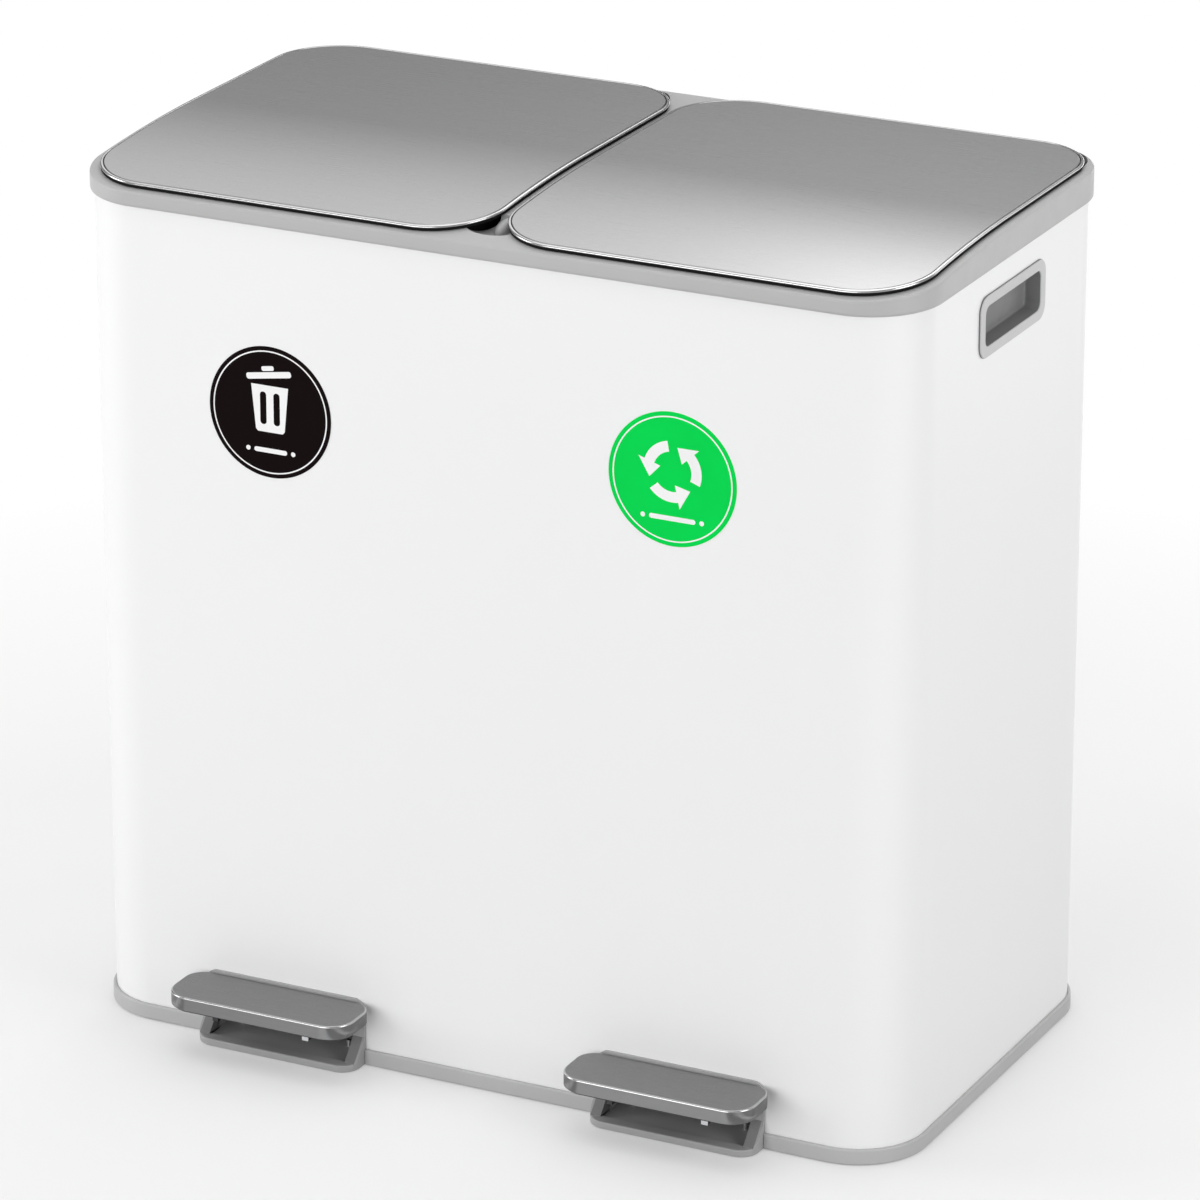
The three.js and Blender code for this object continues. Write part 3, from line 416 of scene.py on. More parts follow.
def soften(obj, width, segments=2, angle=40):
    """Rounds the sharp edges of a carved piece."""
    edge = obj.modifiers.new("edges", "BEVEL")
    edge.width = width
    edge.segments = segments
    edge.limit_method = "ANGLE"
    edge.angle_limit = math.radians(angle)
    edge.use_clamp_overlap = True
    return obj


def finish_piece(obj, body, slot, material, *stands_for, sharp=35):
    """Shades a piece, gives it its finish, and seats it on the body that it moves with."""
    for face in obj.data.polygons:
        face.use_smooth = True
    obj.data.set_sharp_from_angle(angle=math.radians(sharp))
    normals = obj.modifiers.new("normals", "WEIGHTED_NORMAL")
    normals.keep_sharp = True
    obj.data.materials.clear()
    obj.data.materials.append(material)
    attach(obj, body)
    if stands_for:
        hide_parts(*stands_for)
    return obj


# ------------------------
# Finishes

def node_tree(material):
    material.use_nodes = True
    tree = material.node_tree
    return tree, tree.nodes["Principled BSDF"]


def grain(tree, scale, detail=2.0, stretch=(1, 1, 1)):
    """Noise in the piece's own metres."""
    place = tree.nodes.new("ShaderNodeTexCoord")
    mapping = tree.nodes.new("ShaderNodeMapping")
    mapping.inputs["Scale"].default_value = stretch
    noise = tree.nodes.new("ShaderNodeTexNoise")
    noise.inputs["Scale"].default_value = scale
    noise.inputs["Detail"].default_value = detail
    tree.links.new(place.outputs["Object"], mapping.inputs["Vector"])
    tree.links.new(mapping.outputs["Vector"], noise.inputs["Vector"])
    return noise.outputs["Fac"]


def spread(tree, value, low, high):
    """Maps the middle of a noise to a range of numbers."""
    step = tree.nodes.new("ShaderNodeMapRange")
    step.inputs["From Min"].default_value = 0.3
    step.inputs["From Max"].default_value = 0.7
    step.inputs["To Min"].default_value = low
    step.inputs["To Max"].default_value = high
    tree.links.new(value, step.inputs["Value"])
    return step.outputs["Result"]


def tinted(tree, value, colour, change):
    """The colour, darker and lighter by a share that follows a noise."""
    ramp = tree.nodes.new("ShaderNodeValToRGB")
    for stop, place, share in zip(ramp.color_ramp.elements, (0.3, 0.7), (1 - change, 1 + change)):
        stop.position = place
        stop.color = [min(c * share, 1) for c in colour] + [1]
    tree.links.new(value, ramp.inputs["Fac"])
    return ramp.outputs["Color"]


def bumped(tree, shader, value, depth):
    bump = tree.nodes.new("ShaderNodeBump")
    bump.inputs["Distance"].default_value = depth
    tree.links.new(value, bump.inputs["Height"])
    tree.links.new(bump.outputs["Normal"], shader.inputs["Normal"])


def surface(name, colour, tone, change, wear, roughness, swing, metallic=0.0):
    """A material whose colour and roughness each follow a noise: (scale, detail, stretch)."""
    material = bpy.data.materials.new(name)
    tree, shader = node_tree(material)
    tree.links.new(tinted(tree, grain(tree, *tone), colour, change), shader.inputs["Base Color"])
    gloss = spread(tree, grain(tree, *wear), roughness - swing, roughness + swing)
    tree.links.new(gloss, shader.inputs["Roughness"])
    shader.inputs["Metallic"].default_value = metallic
    return material, tree, shader


def coated_steel():
    """Smooth white enamel: a satin gloss with slow, faint changes."""
    colour = (0.858, 0.858, 0.861)
    return surface("white_coated_steel", colour, (3.0, 3.0), 0.006, (9.0, 2.0), 0.3, 0.02)[0]


def moulded(name, colour, roughness, depth=0.012 * mm, scale=1500.0, gloss_level=0.5):
    """Moulded plastic: fine spark-eroded grain and a faint change of tone."""
    material, tree, shader = surface(name, colour, (12.0, 4.0), 0.02, (90.0, 3.0), roughness, 0.05)
    bumped(tree, shader, grain(tree, scale, 2.0), depth)
    shader.inputs["Specular IOR Level"].default_value = gloss_level
    return material


def brushed(name, colour, roughness, stretch=0.0, lines=1.0):
    """Brushed steel: long hair lines along X, as strong as lines says, over a slight unevenness."""
    along = (0.012, 1, 1)
    hair = (2600.0, 3.0, along)
    material, tree, shader = surface(name, colour, (700.0, 2.0, along), 0.012 * lines,
                                     hair, roughness, 0.03 * lines, 1.0)
    bumped(tree, shader, grain(tree, *hair), 0.0003 * mm * lines)
    if stretch:
        shader.inputs["Anisotropic"].default_value = stretch
        across = tree.nodes.new("ShaderNodeTangent")
        across.direction_type = "RADIAL"
        across.axis = "X"
        tree.links.new(across.outputs["Tangent"], shader.inputs["Tangent"])
    return material


def plated(name, colour, roughness):
    """Zinc-plated steel: a dull sheen with soft crystalline patches."""
    material, tree, shader = surface(name, colour, (160.0, 3.0), 0.08, (300.0, 2.0), roughness, 0.06, 1.0)
    bumped(tree, shader, grain(tree, 900.0, 2.0), 0.004 * mm)
    return material


def vinyl(name, colour, roughness, gloss_level):
    """Printed sticker film: an even colour under a thin, slightly uneven gloss."""
    material, tree, shader = surface(name, colour, (30.0, 2.0), 0.03, (120.0, 2.0), roughness, 0.04)
    bumped(tree, shader, grain(tree, 700.0, 1.0), 0.004 * mm)
    shader.inputs["Specular IOR Level"].default_value = gloss_level
    return material


WHITE_COAT = coated_steel()
RIM_GREY = moulded("light_grey_plastic", (0.44, 0.44, 0.44), 0.42)
MID_GREY = moulded("mid_grey_plastic", (0.36, 0.36, 0.362), 0.45)
# Lighter copy of the housings' mid grey for the base tray: painted light that offsets the shade near the
# floor.
TRAY_LIT_GREY = moulded("tray_painted_light_plastic", (0.46, 0.46, 0.462), 0.45)
BEZEL_GREY = moulded("bezel_grey_plastic", (0.54, 0.54, 0.542), 0.42)
# Darker copy of the handles' grey plastic for the recess and the bezel's edges: painted shade, not a second
# plastic.
GRIP_SHADE_GREY = moulded("grip_painted_shade_plastic", (0.2, 0.2, 0.202), 0.55)
# Darker copy of the housings' grey for the cheeks' inner parts: painted shade under the pedals.
CHEEK_SHADE_GREY = moulded("cheek_painted_shade_plastic", (0.19, 0.19, 0.192), 0.55)
DARK = moulded("dark_plastic", (0.012, 0.012, 0.013), 0.6)
BUCKET_GREY = moulded("bucket_plastic", (0.088, 0.093, 0.104), 0.5, 0.02 * mm, 900.0)
LID_STEEL_FINISH = brushed("brushed_steel", (0.45, 0.45, 0.452), 0.28, lines=0.3)
# The bead is polished, and its steel is lighter than the lid's: a painted highlight along the lid's edge.
BEAD_HIGHLIGHT_FINISH = brushed("polished_steel_bead_painted_highlight", (0.6, 0.6, 0.602), 0.2, lines=0.0)
# Pedal steels: the edge is lighter, a painted highlight line along the top's front; the top and skirt are far
# darker than the lids' steel, painted shade that stands in for the dim reflections they catch.
PEDAL_EDGE_HIGHLIGHT_FINISH = brushed("pedal_edge_steel_painted_highlight", (0.52, 0.52, 0.523), 0.2, lines=0.4)
PEDAL_DIMMED_STEEL_FINISH = brushed("pedal_brushed_steel_painted_dim", (0.235, 0.235, 0.238), 0.26, 0.8)
SKIRT_DIMMED_STEEL_FINISH = brushed("pedal_skirt_steel_painted_dim", (0.21, 0.21, 0.213), 0.4, 0.95)
ZINC = plated("zinc_steel", (0.62, 0.63, 0.65), 0.32)
# Near-black copy of the zinc steel for the pedal levers: painted shade under the pedals.
LEVER_SHADE_ZINC = plated("zinc_steel_painted_shade", (0.06, 0.06, 0.063), 0.5)
# Darker and duller than the dark plastic: the liner is dark, and its edge under the steel paints the shadow
# gap between lid and rim.
LINER_GAP_SHADE_DARK = moulded("lid_liner_plastic_painted_gap_shade", (0.008, 0.008, 0.008), 0.8, gloss_level=0.1)
RUBBER = moulded("rubber", (0.012, 0.012, 0.012), 0.8, 0.03 * mm, 1200.0)
BLACK_FILM = vinyl("black_label", (0.004, 0.0012, 0.0016), 0.5, 0.04)
GREEN_FILM = vinyl("green_label", (0.002, 0.66, 0.082), 0.5, 0.03)
WHITE_PRINT = vinyl("white_print", (0.88, 0.88, 0.88), 0.5, 0.3)


# ------------------------
# Main outlines

body_outline = Outline(-HALF_WIDTH, HALF_WIDTH, MID_Y - HALF_DEPTH, MID_Y + HALF_DEPTH,
                       BODY_RADIUS, BODY_RADIUS)
rim_outline = grow(body_outline, rim_hi.x - HALF_WIDTH)
tray_outline = grow(body_outline, tray_hi.x - HALF_WIDTH)
shell_inset = SHELL_WALL + GAP

lid_lo, lid_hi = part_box("lid_skin_right")
LID_DROP = lid_hi.z - lid_lo.z - LID_EDGE
lid_outline = Outline(lid_lo.x, lid_hi.x, lid_lo.y, lid_hi.y, LID_RADIUS, LID_RADIUS)


def lid_face(y):
    """Height of the lids' top face: level over the rear half, bowed down towards the front."""
    t = min(y - MID_Y, 0) / (lid_lo.y - MID_Y)
    return lid_hi.z - LID_DROP * t * t


def rim_face(y):
    return lid_face(y) - RIM_BELOW_LID


mouth_outline = Outline(BAR_WIDTH / 2 + MOUTH_BAR, HALF_WIDTH - POCKET_INSET - MOUTH_SIDE,
                        body_outline.y0 + POCKET_INSET + MOUTH_FRONT, body_outline.y1 - MOUTH_REAR,
                        MOUTH_RADIUS, MOUTH_RADIUS)
pocket_outline = Outline(BAR_WIDTH / 2, HALF_WIDTH - POCKET_INSET, body_outline.y0 + POCKET_INSET,
                         body_outline.y1 + POCKET_REAR_OUTSET, POCKET_FRONT_RADIUS, POCKET_REAR_RADIUS)
pocket_limit = pocket_outline._replace(x1=HALF_WIDTH * 2, rear=POCKET_INNER_OVAL[0],
                                       rear_y=POCKET_INNER_OVAL[1])
pin_box = {hand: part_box(f"hinge_pin_{hand}_a") for hand in ("left", "right")}
HINGE_Y = (pin_box["left"][0].y + pin_box["left"][1].y) / 2
HINGE_Z = (pin_box["left"][0].z + pin_box["left"][1].z) / 2
ROD_Y = body_outline.y1 - ROD_INSET
SIDES = ((-1, "left"), (1, "right"))


def middle_x(node):
    low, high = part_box(node)
    return (low.x + high.x) / 2


# ------------------------
# White steel body

def outward(piece, side):
    """Turns a piece that was made lying flat to face out of one side, at the handles' height."""
    low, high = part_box("handle_cup_right")
    centre = Vector((0, (low.y + high.y) / 2, (low.z + high.z) / 2))
    turn = Matrix(((0, 0, side, 0), (side, 0, 0, 0), (0, 1, 0, 0), (0, 0, 0, 1)))
    piece.data.transform(Matrix.Translation(centre) @ turn)
    return piece


def oblong(half_u, half_v, r):
    return Outline(-half_u, half_u, -half_v, half_v, r, r)


def make_body():
    inner = grow(body_outline, -SHELL_WALL)
    z0, z1 = body_lo.z, body_hi.z
    sleeve = wall("body_shell", body_outline, inner, z0, z1, BODY_STEPS)
    margin = CUP_WALL + GAP
    window = oblong(GRIP[0] / 2 + margin, GRIP[1] / 2 + margin, GRIP_RADIUS + margin)
    cuts = []
    for side, hand in SIDES:
        tool = prism("window", window, HALF_WIDTH - OVERCUT, HALF_WIDTH + OVERCUT, 8)
        cuts.append(cut(outward(tool, side)))
        x = middle_x(f"pedal_housing_{hand}")
        half = duct_half(hand) + DUCT_WALL + GAP
        cuts.append(cut(box("window", x - half, x + half, body_outline.y0 - OVERCUT,
                            body_outline.y0 + OVERCUT, z0 - OVERCUT, DUCT_TOP + GAP)))
    carve(sleeve, *cuts)
    finish_piece(sleeve, "body", "white_coated_steel", WHITE_COAT, "outer_body")


def duct_half(hand):
    low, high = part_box(f"pedal_housing_{hand}")
    return (high.x - low.x) / 2 - CHEEK_THICK


# ------------------------
# Handle cups

def make_handle_cup(side, hand):
    low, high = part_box(f"handle_cup_{hand}")
    face = max(abs(low.x), abs(high.x))
    bezel = oblong((high.y - low.y) / 2, (high.z - low.z) / 2, BEZEL_RADIUS)
    grip = oblong(GRIP[0] / 2, GRIP[1] / 2, GRIP_RADIUS)
    seat = HALF_WIDTH + GAP / 2
    floor = HALF_WIDTH - GRIP_DEPTH
    under = face - BEZEL_FACE
    flange = under - BEZEL_SEAM
    plate = grow(bezel, -BEZEL_INSET)
    bottom = grow(grip, -GRIP_DRAFT)
    outside = grow(grip, CUP_WALL)
    rounds = quarter(BEZEL_ROUND, FINE_EDGE_STEPS)
    trim_loops = [(grip, under), (plate, under)] + crown(plate, BEZEL_ROUND, face)
    trim_loops += [(grow(grip, inset), face - drop) for inset, drop in reversed(rounds)]
    cup_loops = [(outside, floor - CUP_WALL), (outside, seat), (bezel, seat), (bezel, flange), (grip, flange)]
    cup_loops += [(grow(bottom, -inset), floor + drop)
                  for inset, drop in quarter(GRIP_FILLET, FINE_EDGE_STEPS)]
    # The bezel's face keeps the light grey; the cup, with its recess and the flange's edges, takes the darker
    # grey that paints their shade.
    for name, loops, closed, finish in ((f"handle_bezel_{hand}", trim_loops, True, BEZEL_GREY),
                                        (f"handle_{hand}", cup_loops, False, GRIP_SHADE_GREY)):
        piece = loft(name, rings(loops, CUP_STEPS), closed)
        finish_piece(outward(piece, side), "body", "mid_grey_plastic", finish, f"handle_cup_{hand}", sharp=50)


# ------------------------
# Top rim

def scoop():
    """The bowl moulded in front of the bar between the lids."""
    y = body_outline.y0 + SCOOP_FRONT + SCOOP_SIZE[1]
    bowl = ellipsoid("scoop", Vector((0, y, rim_face(y))), SCOOP_SIZE)
    nose = Vector((0, y + NOSE_SIZE[1], rim_face(y) - SCOOP_SIZE[2]))
    return carve(bowl, cut(ellipsoid("nose", nose, NOSE_SIZE)))


def ellipsoid(name, centre, size):
    bm = bmesh.new()
    bmesh.ops.create_uvsphere(bm, u_segments=48, v_segments=24, radius=1)
    place = Matrix.Translation(centre) @ Matrix.Diagonal((*size, 1))
    bmesh.ops.transform(bm, matrix=place, verts=bm.verts)
    return mesh_object(name, bm)


def make_rim():
    foot = [(grow(rim_outline, -inset), RIM_FACE_Z + drop)
            for inset, drop in reversed(quarter(RIM_EDGE_BOTTOM))]
    brow = [(grow(rim_outline, -inset), lambda y, d=drop: rim_face(y) - d)
            for inset, drop in quarter(RIM_EDGE_TOP, FINE_EDGE_STEPS)]
    block = loft("rim", rings(foot + brow, RIM_STEPS, RIM_RUNS))
    skirt = grow(body_outline, -shell_inset)
    band = wall("skirt", skirt, grow(skirt, -RIM_SKIRT_WALL), rim_lo.z, RIM_FACE_Z + mm)
    groove = wall("groove", grow(body_outline, GAP), skirt, RIM_FACE_Z - mm, body_hi.z + GAP)
    steps = [("UNION", band), cut(groove)]
    for side, hand in SIDES:
        pocket, limit = (prism("pocket", mirrored(o, side), POCKET_FLOOR_Z, lid_hi.z + 2 * OVERCUT)
                         for o in (pocket_outline, pocket_limit))
        steps.append(cut(carve(pocket, ("INTERSECT", limit))))
        steps.append(cut(prism("mouth", mirrored(mouth_outline, side), RIM_FACE_Z - 4 * OVERCUT,
                               POCKET_FLOOR_Z + mm)))
        x = middle_x(f"pedal_plate_{hand}")
        steps.append(cut(box("rod_slot", x - LUG_WIDTH / 2 - ROD_SLOT_SIDE,
                             x + ROD_OFFSET + 2 * ROD_RADIUS, ROD_Y - ROD_SLOT_FRONT,
                             HINGE_Y - HINGE_EYE, RIM_FACE_Z - mm, POCKET_FLOOR_Z + mm)))
    steps.append(cut(scoop()))
    carve(block, *steps)
    soften(block, CARVED_ROUND)
    ears = []
    for _, hand in SIDES:
        for tag in "ab":
            x = middle_x(f"hinge_pin_{hand}_{tag}")
            for end in (-1, 1):
                near = x + end * (HINGE_KNUCKLE / 2 + GAP)
                ears.append(hinge_eye("ear", *sorted((near, near + end * HINGE_EAR)), POCKET_FLOOR_Z - mm))
    finish_piece(block, "body", "light_grey_plastic", RIM_GREY, "top_rim")
    eyes = joined("rim_hinge_ears", ears)
    finish_piece(eyes, "body", "light_grey_plastic", RIM_GREY)


def hinge_eye(name, x0, x1, foot_z):
    """An upright plate with a round top about the hinge's axis."""
    points = arc(HINGE_Y, HINGE_Z, HINGE_EYE, 0, math.pi)
    points += [(HINGE_Y - HINGE_EYE, foot_z), (HINGE_Y + HINGE_EYE, foot_z)]
    return slab(name, points, x0, x1)


# ------------------------
# Base tray and feet

def make_tray():
    seat = grow(body_outline, GAP)
    upstand = grow(body_outline, -shell_inset)
    inside = grow(upstand, -UPSTAND_WALL)
    loops = [(grow(tray_outline, -TRAY_CHAMFER), tray_lo.z), (tray_outline, tray_lo.z + TRAY_CHAMFER)]
    loops += crown(tray_outline, RING_ROUND, RING_TOP)
    loops += [(seat, RING_TOP), (seat, TRAY_FLOOR_TOP), (upstand, TRAY_FLOOR_TOP), (upstand, UPSTAND_TOP),
              (inside, UPSTAND_TOP), (inside, TRAY_FLOOR_TOP)]
    tray = loft("tray", rings(loops, RIM_STEPS))
    steps = []
    for _, hand in SIDES:
        low_c, high_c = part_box(f"pedal_housing_{hand}")
        x0, x1 = low_c.x - GAP, high_c.x + GAP
        x = middle_x(f"pedal_housing_{hand}")
        half = duct_half(hand) + DUCT_WALL + GAP
        face, ahead, above = body_outline.y0, tray_lo.y - OVERCUT, RING_TOP + OVERCUT
        for size in ((x0, x1, ahead, face + SHELL_WALL + GAP, TRAY_FLOOR_TOP, above),
                     (x0, x1, ahead, face - GAP / 2, -mm, above),
                     (x - half, x + half, face - mm, face + OVERCUT, TRAY_FLOOR_TOP, UPSTAND_TOP + OVERCUT)):
            steps.append(cut(box("notch", *size)))
    for front in ("front", "rear"):
        for _, hand in SIDES:
            low_f, high_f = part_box(f"foot_{front}_{hand}")
            centre = (low_f + high_f) / 2
            r = (high_f.x - low_f.x) / 2 + GAP
            top = high_f.z + GAP
            well = lathe("well", [(0, -mm), (r, -mm), (r, top), (0, top)], Vector((centre.x, centre.y, 0)))
            steps.append(cut(well))
    carve(tray, *steps)
    # The tray takes the lighter copy of the mid grey, painted light against the shade near the floor.
    finish_piece(tray, "body", "mid_grey_plastic", TRAY_LIT_GREY, "base_tray")
    saddles = []
    for _, hand in SIDES:
        low_p, high_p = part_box(f"pedal_pin_{hand}")
        y, z = (low_p.y + high_p.y) / 2, (low_p.z + high_p.z) / 2
        for x, end in ((low_p.x + PIN_END, 1), (high_p.x - PIN_END, -1)):
            saddles.append(saddle(x + end * SADDLE_THICK / 2, y, z))
    finish_piece(joined("tray_saddles", saddles), "body", "mid_grey_plastic", TRAY_LIT_GREY)


def saddle(x, y, z):
    """A moulded post whose round top holds the end of a lever's pin."""
    points = arc(y, z + SADDLE_RISE, SADDLE_HALF, 0, math.pi, 12)
    points += [(y - SADDLE_HALF, TRAY_FLOOR_TOP), (y + SADDLE_HALF, TRAY_FLOOR_TOP)]
    return slab("saddle", points, x - SADDLE_THICK / 2, x + SADDLE_THICK / 2)


def make_feet():
    for front in ("front", "rear"):
        for _, hand in SIDES:
            low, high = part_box(f"foot_{front}_{hand}")
            centre = (low + high) / 2
            r = (high.x - low.x) / 2
            tread = [(radius * mm, level * mm) for radius, level in FOOT_TREAD]
            tread += [(r - FOOT_CHAMFER, 0), (r, FOOT_GROOVE), (r, high.z), (0, high.z)]
            foot = lathe(f"foot_pad_{front}_{hand}", tread, Vector((centre.x, centre.y, 0)), sides=64)
            finish_piece(foot, "body", "rubber", RUBBER, f"foot_{front}_{hand}")


# ------------------------
# Pedal housings

def make_housing(hand):
    low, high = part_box(f"pedal_housing_{hand}")
    x = (low.x + high.x) / 2
    half = (high.x - low.x) / 2
    open_half = half - CHEEK_THICK
    wall_y = body_outline.y0
    face = wall_y - GAP
    front = face - FLANGE_THICK
    plan = Outline(x - half, x + half, low.y, wall_y + LIP_BEHIND, LIP_RADIUS, LIP_RADIUS)
    foot_z = low.z + LIP_CHAMFER
    loops = [(grow(plan, -LIP_CHAMFER), low.z), (plan, foot_z)]
    loops += crown(plan, LIP_ROUND, LIP_TOP)
    lip = loft(f"housing_{hand}", rings(loops, LIP_STEPS))
    behind = box("behind", x - half - mm, x + half + mm, front, wall_y + 1.5 * LIP_BEHIND, -mm, LIP_TOP + mm)
    r = FLANGE_RADIUS
    right = arc(x + half - r, high.z - r, r, 0, math.pi / 2, 10)
    left = [(2 * x - px, pz) for px, pz in reversed(right)]
    outline = [(x + half, foot_z)] + right + left + [(x - half, foot_z)]
    flange = upright_plate("flange", outline, front, face)
    cheeks, linings = [], []
    for end in (-1, 1):
        outer = x + end * half
        middle = outer - end * CHEEK_SKIN
        inner = outer - end * CHEEK_THICK
        foot = wall_y - CHEEK_REACH
        points = [(face - mm / 2, LIP_TOP - mm), (face - mm / 2, CHEEK_TOP), (front, CHEEK_TOP)]
        for i in range(1, CHEEK_STEPS):
            t = i / CHEEK_STEPS
            sag = math.sin(t * math.pi) * CHEEK_SAG
            points.append((front + (foot - front) * t, CHEEK_TOP + (LIP_TOP - CHEEK_TOP) * t - sag))
        points += [(foot, LIP_TOP - mm / 4), (foot, LIP_TOP - mm)]
        cheek = slab("cheek", points, min(outer, middle), max(outer, middle))
        cheeks.append(carve(cheek, ("INTERSECT", prism("plan", plan, low.z, high.z, LIP_STEPS))))
        linings.append(slab("cheek", points, min(middle, inner), max(middle, inner)))
    across = (x - open_half - DUCT_WALL, x + open_half + DUCT_WALL)
    within = (x - open_half, x + open_half)
    sunk = LIP_TOP - LIP_STEP
    duct = box("duct", *across, face - FLANGE_THICK / 2, high.y, DUCT_BOTTOM, DUCT_TOP)
    floor = box("floor", *across, front - mm, high.y, DUCT_BOTTOM, LIP_TOP)
    bore = box("bore", *within, front - 2 * mm, high.y + mm, sunk, DUCT_TOP - DUCT_WALL)
    step = box("step", *within, wall_y - CHEEK_REACH + 2 * mm, front, sunk, LIP_TOP + mm)
    carve(lip, cut(behind), ("UNION", flange), ("UNION", cheeks[0]), ("UNION", cheeks[1]),
          ("UNION", floor), ("UNION", duct), cut(bore), cut(step))
    soften(lip, CARVED_ROUND, angle=50)
    finish_piece(lip, "body", "mid_grey_plastic", MID_GREY, f"pedal_housing_{hand}")
    # The inner parts of the cheeks are painted darker, standing in for the shade under the pedal.
    lining = joined(f"housing_cheeks_{hand}", linings)
    finish_piece(lining, "body", "mid_grey_plastic", CHEEK_SHADE_GREY, f"pedal_housing_{hand}")


# ------------------------
# Lids

def make_lid(side, hand):
    """A steel sheet, and the polished bead that closes its edge, with a fine crease between."""
    o = mirrored(lid_outline, side)
    steps = [(BEAD_WIDTH, LID_STEEL), (LID_STEEL + BEAD_CHAMFER, LID_STEEL),
             (LID_STEEL, LID_STEEL + BEAD_CHAMFER), (LID_STEEL, BEAD_HEIGHT), (LID_HEM, BEAD_HEIGHT)]
    steps += quarter(BEAD_ROUND, 8)
    steps += [(BEAD_WIDTH - CREASE_ROUND, 0), (BEAD_WIDTH, CREASE_ROUND)]
    bead = profile_loft(f"lid_bead_{hand}", o, steps, lid_face, LID_STEPS, LID_RUNS, closed=True)
    # The bead's lighter steel paints a highlight along the lid's edge.
    finish_piece(bead, f"lid_{hand}", "brushed_steel", BEAD_HIGHLIGHT_FINISH, f"lid_skin_{hand}")
    edge = BEAD_WIDTH + CREASE
    steps = [(edge + mm, LID_STEEL), (edge, LID_STEEL), (edge, CREASE_ROUND), (edge + CREASE_ROUND, 0)]
    skin = profile_loft(f"lid_{hand}", o, steps, lid_face, LID_STEPS, LID_RUNS)
    finish_piece(skin, f"lid_{hand}", "brushed_steel", LID_STEEL_FINISH, f"lid_skin_{hand}")


def make_liner(side, hand):
    o = mirrored(lid_outline, side)

    def under(y):
        return lid_face(y) - LID_STEEL - GAP

    def top(y):
        return under(y) - LINER_PLATE / 2

    outer = grow(o, -LINER_INSET)
    inside, seat = LID_STEEL + GAP - LINER_EDGE, BEAD_HEIGHT - LID_STEEL
    # The plate reaches out under the bead so that its dark edge paints the shadow gap under the lid.
    steps = [(LINER_BREAK, LINER_PLATE + 2 * LINER_BREAK), (0, LINER_PLATE + LINER_BREAK), (0, seat),
             (inside, seat), (inside, LINER_CHAMFER), (inside + LINER_CHAMFER, 0)]
    plate = profile_loft(f"lid_lining_{hand}", grow(o, -LINER_EDGE)._replace(y1=outer.y1), steps, under,
                         CORNER_STEPS, LINER_RUNS)
    walls = grow(o, -LINER_WALL_INSET)._replace(y1=o.y1 - LINER_WALL_REAR)
    base_z = POCKET_FLOOR_Z + LINER_CLEAR
    frame_wall = wall("wall", walls, grow(walls, -LINER_WALL), base_z, top, 16, 12)
    x = middle_x(f"pedal_plate_{hand}")
    gate = box("gate", x - LUG_WIDTH / 2 - 3 * mm, x + ROD_OFFSET + 2 * ROD_RADIUS + mm,
               walls.y1 - LINER_WALL - mm, walls.y1 + mm, base_z - mm, under(HINGE_Y) - LINER_PLATE)
    carve(frame_wall, cut(gate))
    steps = [("UNION", frame_wall)]
    notch = HINGE_EAR + 2 * GAP
    knuckles = []
    for tag in "ab":
        hx = middle_x(f"hinge_pin_{hand}_{tag}")
        x0, x1 = hx - HINGE_KNUCKLE / 2, hx + HINGE_KNUCKLE / 2
        steps.append(cut(box("notch", x0 - notch, x1 + notch, HINGE_Y - HINGE_EYE - mm, o.y1,
                             HINGE_Z, lid_hi.z)))
        knuckles.append(knuckle(x0, x1, o.y1 - LINER_INSET, top(HINGE_Y)))
    carve(plate, *steps)
    finish_piece(plate, f"lid_{hand}", "dark_plastic", LINER_GAP_SHADE_DARK, f"lid_liner_{hand}")
    lug = make_lug(x, top(HINGE_Y))
    parts = joined(f"lid_knuckles_{hand}", knuckles + [lug])
    finish_piece(parts, f"lid_{hand}", "dark_plastic", DARK)


def knuckle(x0, x1, rear_y, top_z):
    front_y, back_y = HINGE_Y - HINGE_EYE - KNUCKLE_ROOT, min(rear_y, HINGE_Y + HINGE_EYE)
    points = [(front_y, top_z), (front_y, HINGE_Z)]
    points += arc(HINGE_Y, HINGE_Z, HINGE_EYE, math.pi, math.pi) + [(back_y, HINGE_Z), (back_y, top_z)]
    return slab("knuckle", points, x0, x1)


def make_lug(x, top_z):
    """The lug under the liner that the rod's hook lifts: a cheek with a slot along its reach."""
    near = LUG_REACH * math.cos(LUG_SWING)
    outer = LUG_SLOT + LUG_WALL

    def along(r):
        return HINGE_Y - r * math.cos(LUG_SWING), HINGE_Z - r * math.sin(LUG_SWING)

    tip, heel = along(LUG_REACH), along(near)
    x0, x1 = x - LUG_WIDTH / 2, x + LUG_WIDTH / 2
    web = slab("lug", [(tip[0] - outer, top_z), (tip[0] - outer, tip[1]), (heel[0] + outer, heel[1]),
                       (HINGE_Y - HINGE_EYE, top_z)], x0, x1)
    steps = [("UNION", rod("round", x0, x1, tip[0], tip[1], outer)),
             ("UNION", rod("round", x0, x1, heel[0], heel[1], outer))]
    count = 6
    for i in range(count):
        y, z = along(near + (LUG_REACH - near) * i / (count - 1))
        steps.append(cut(rod("slot", x0 - mm, x1 + mm, y, z, LUG_SLOT)))
    return carve(web, *steps)


# ------------------------
# Pedals

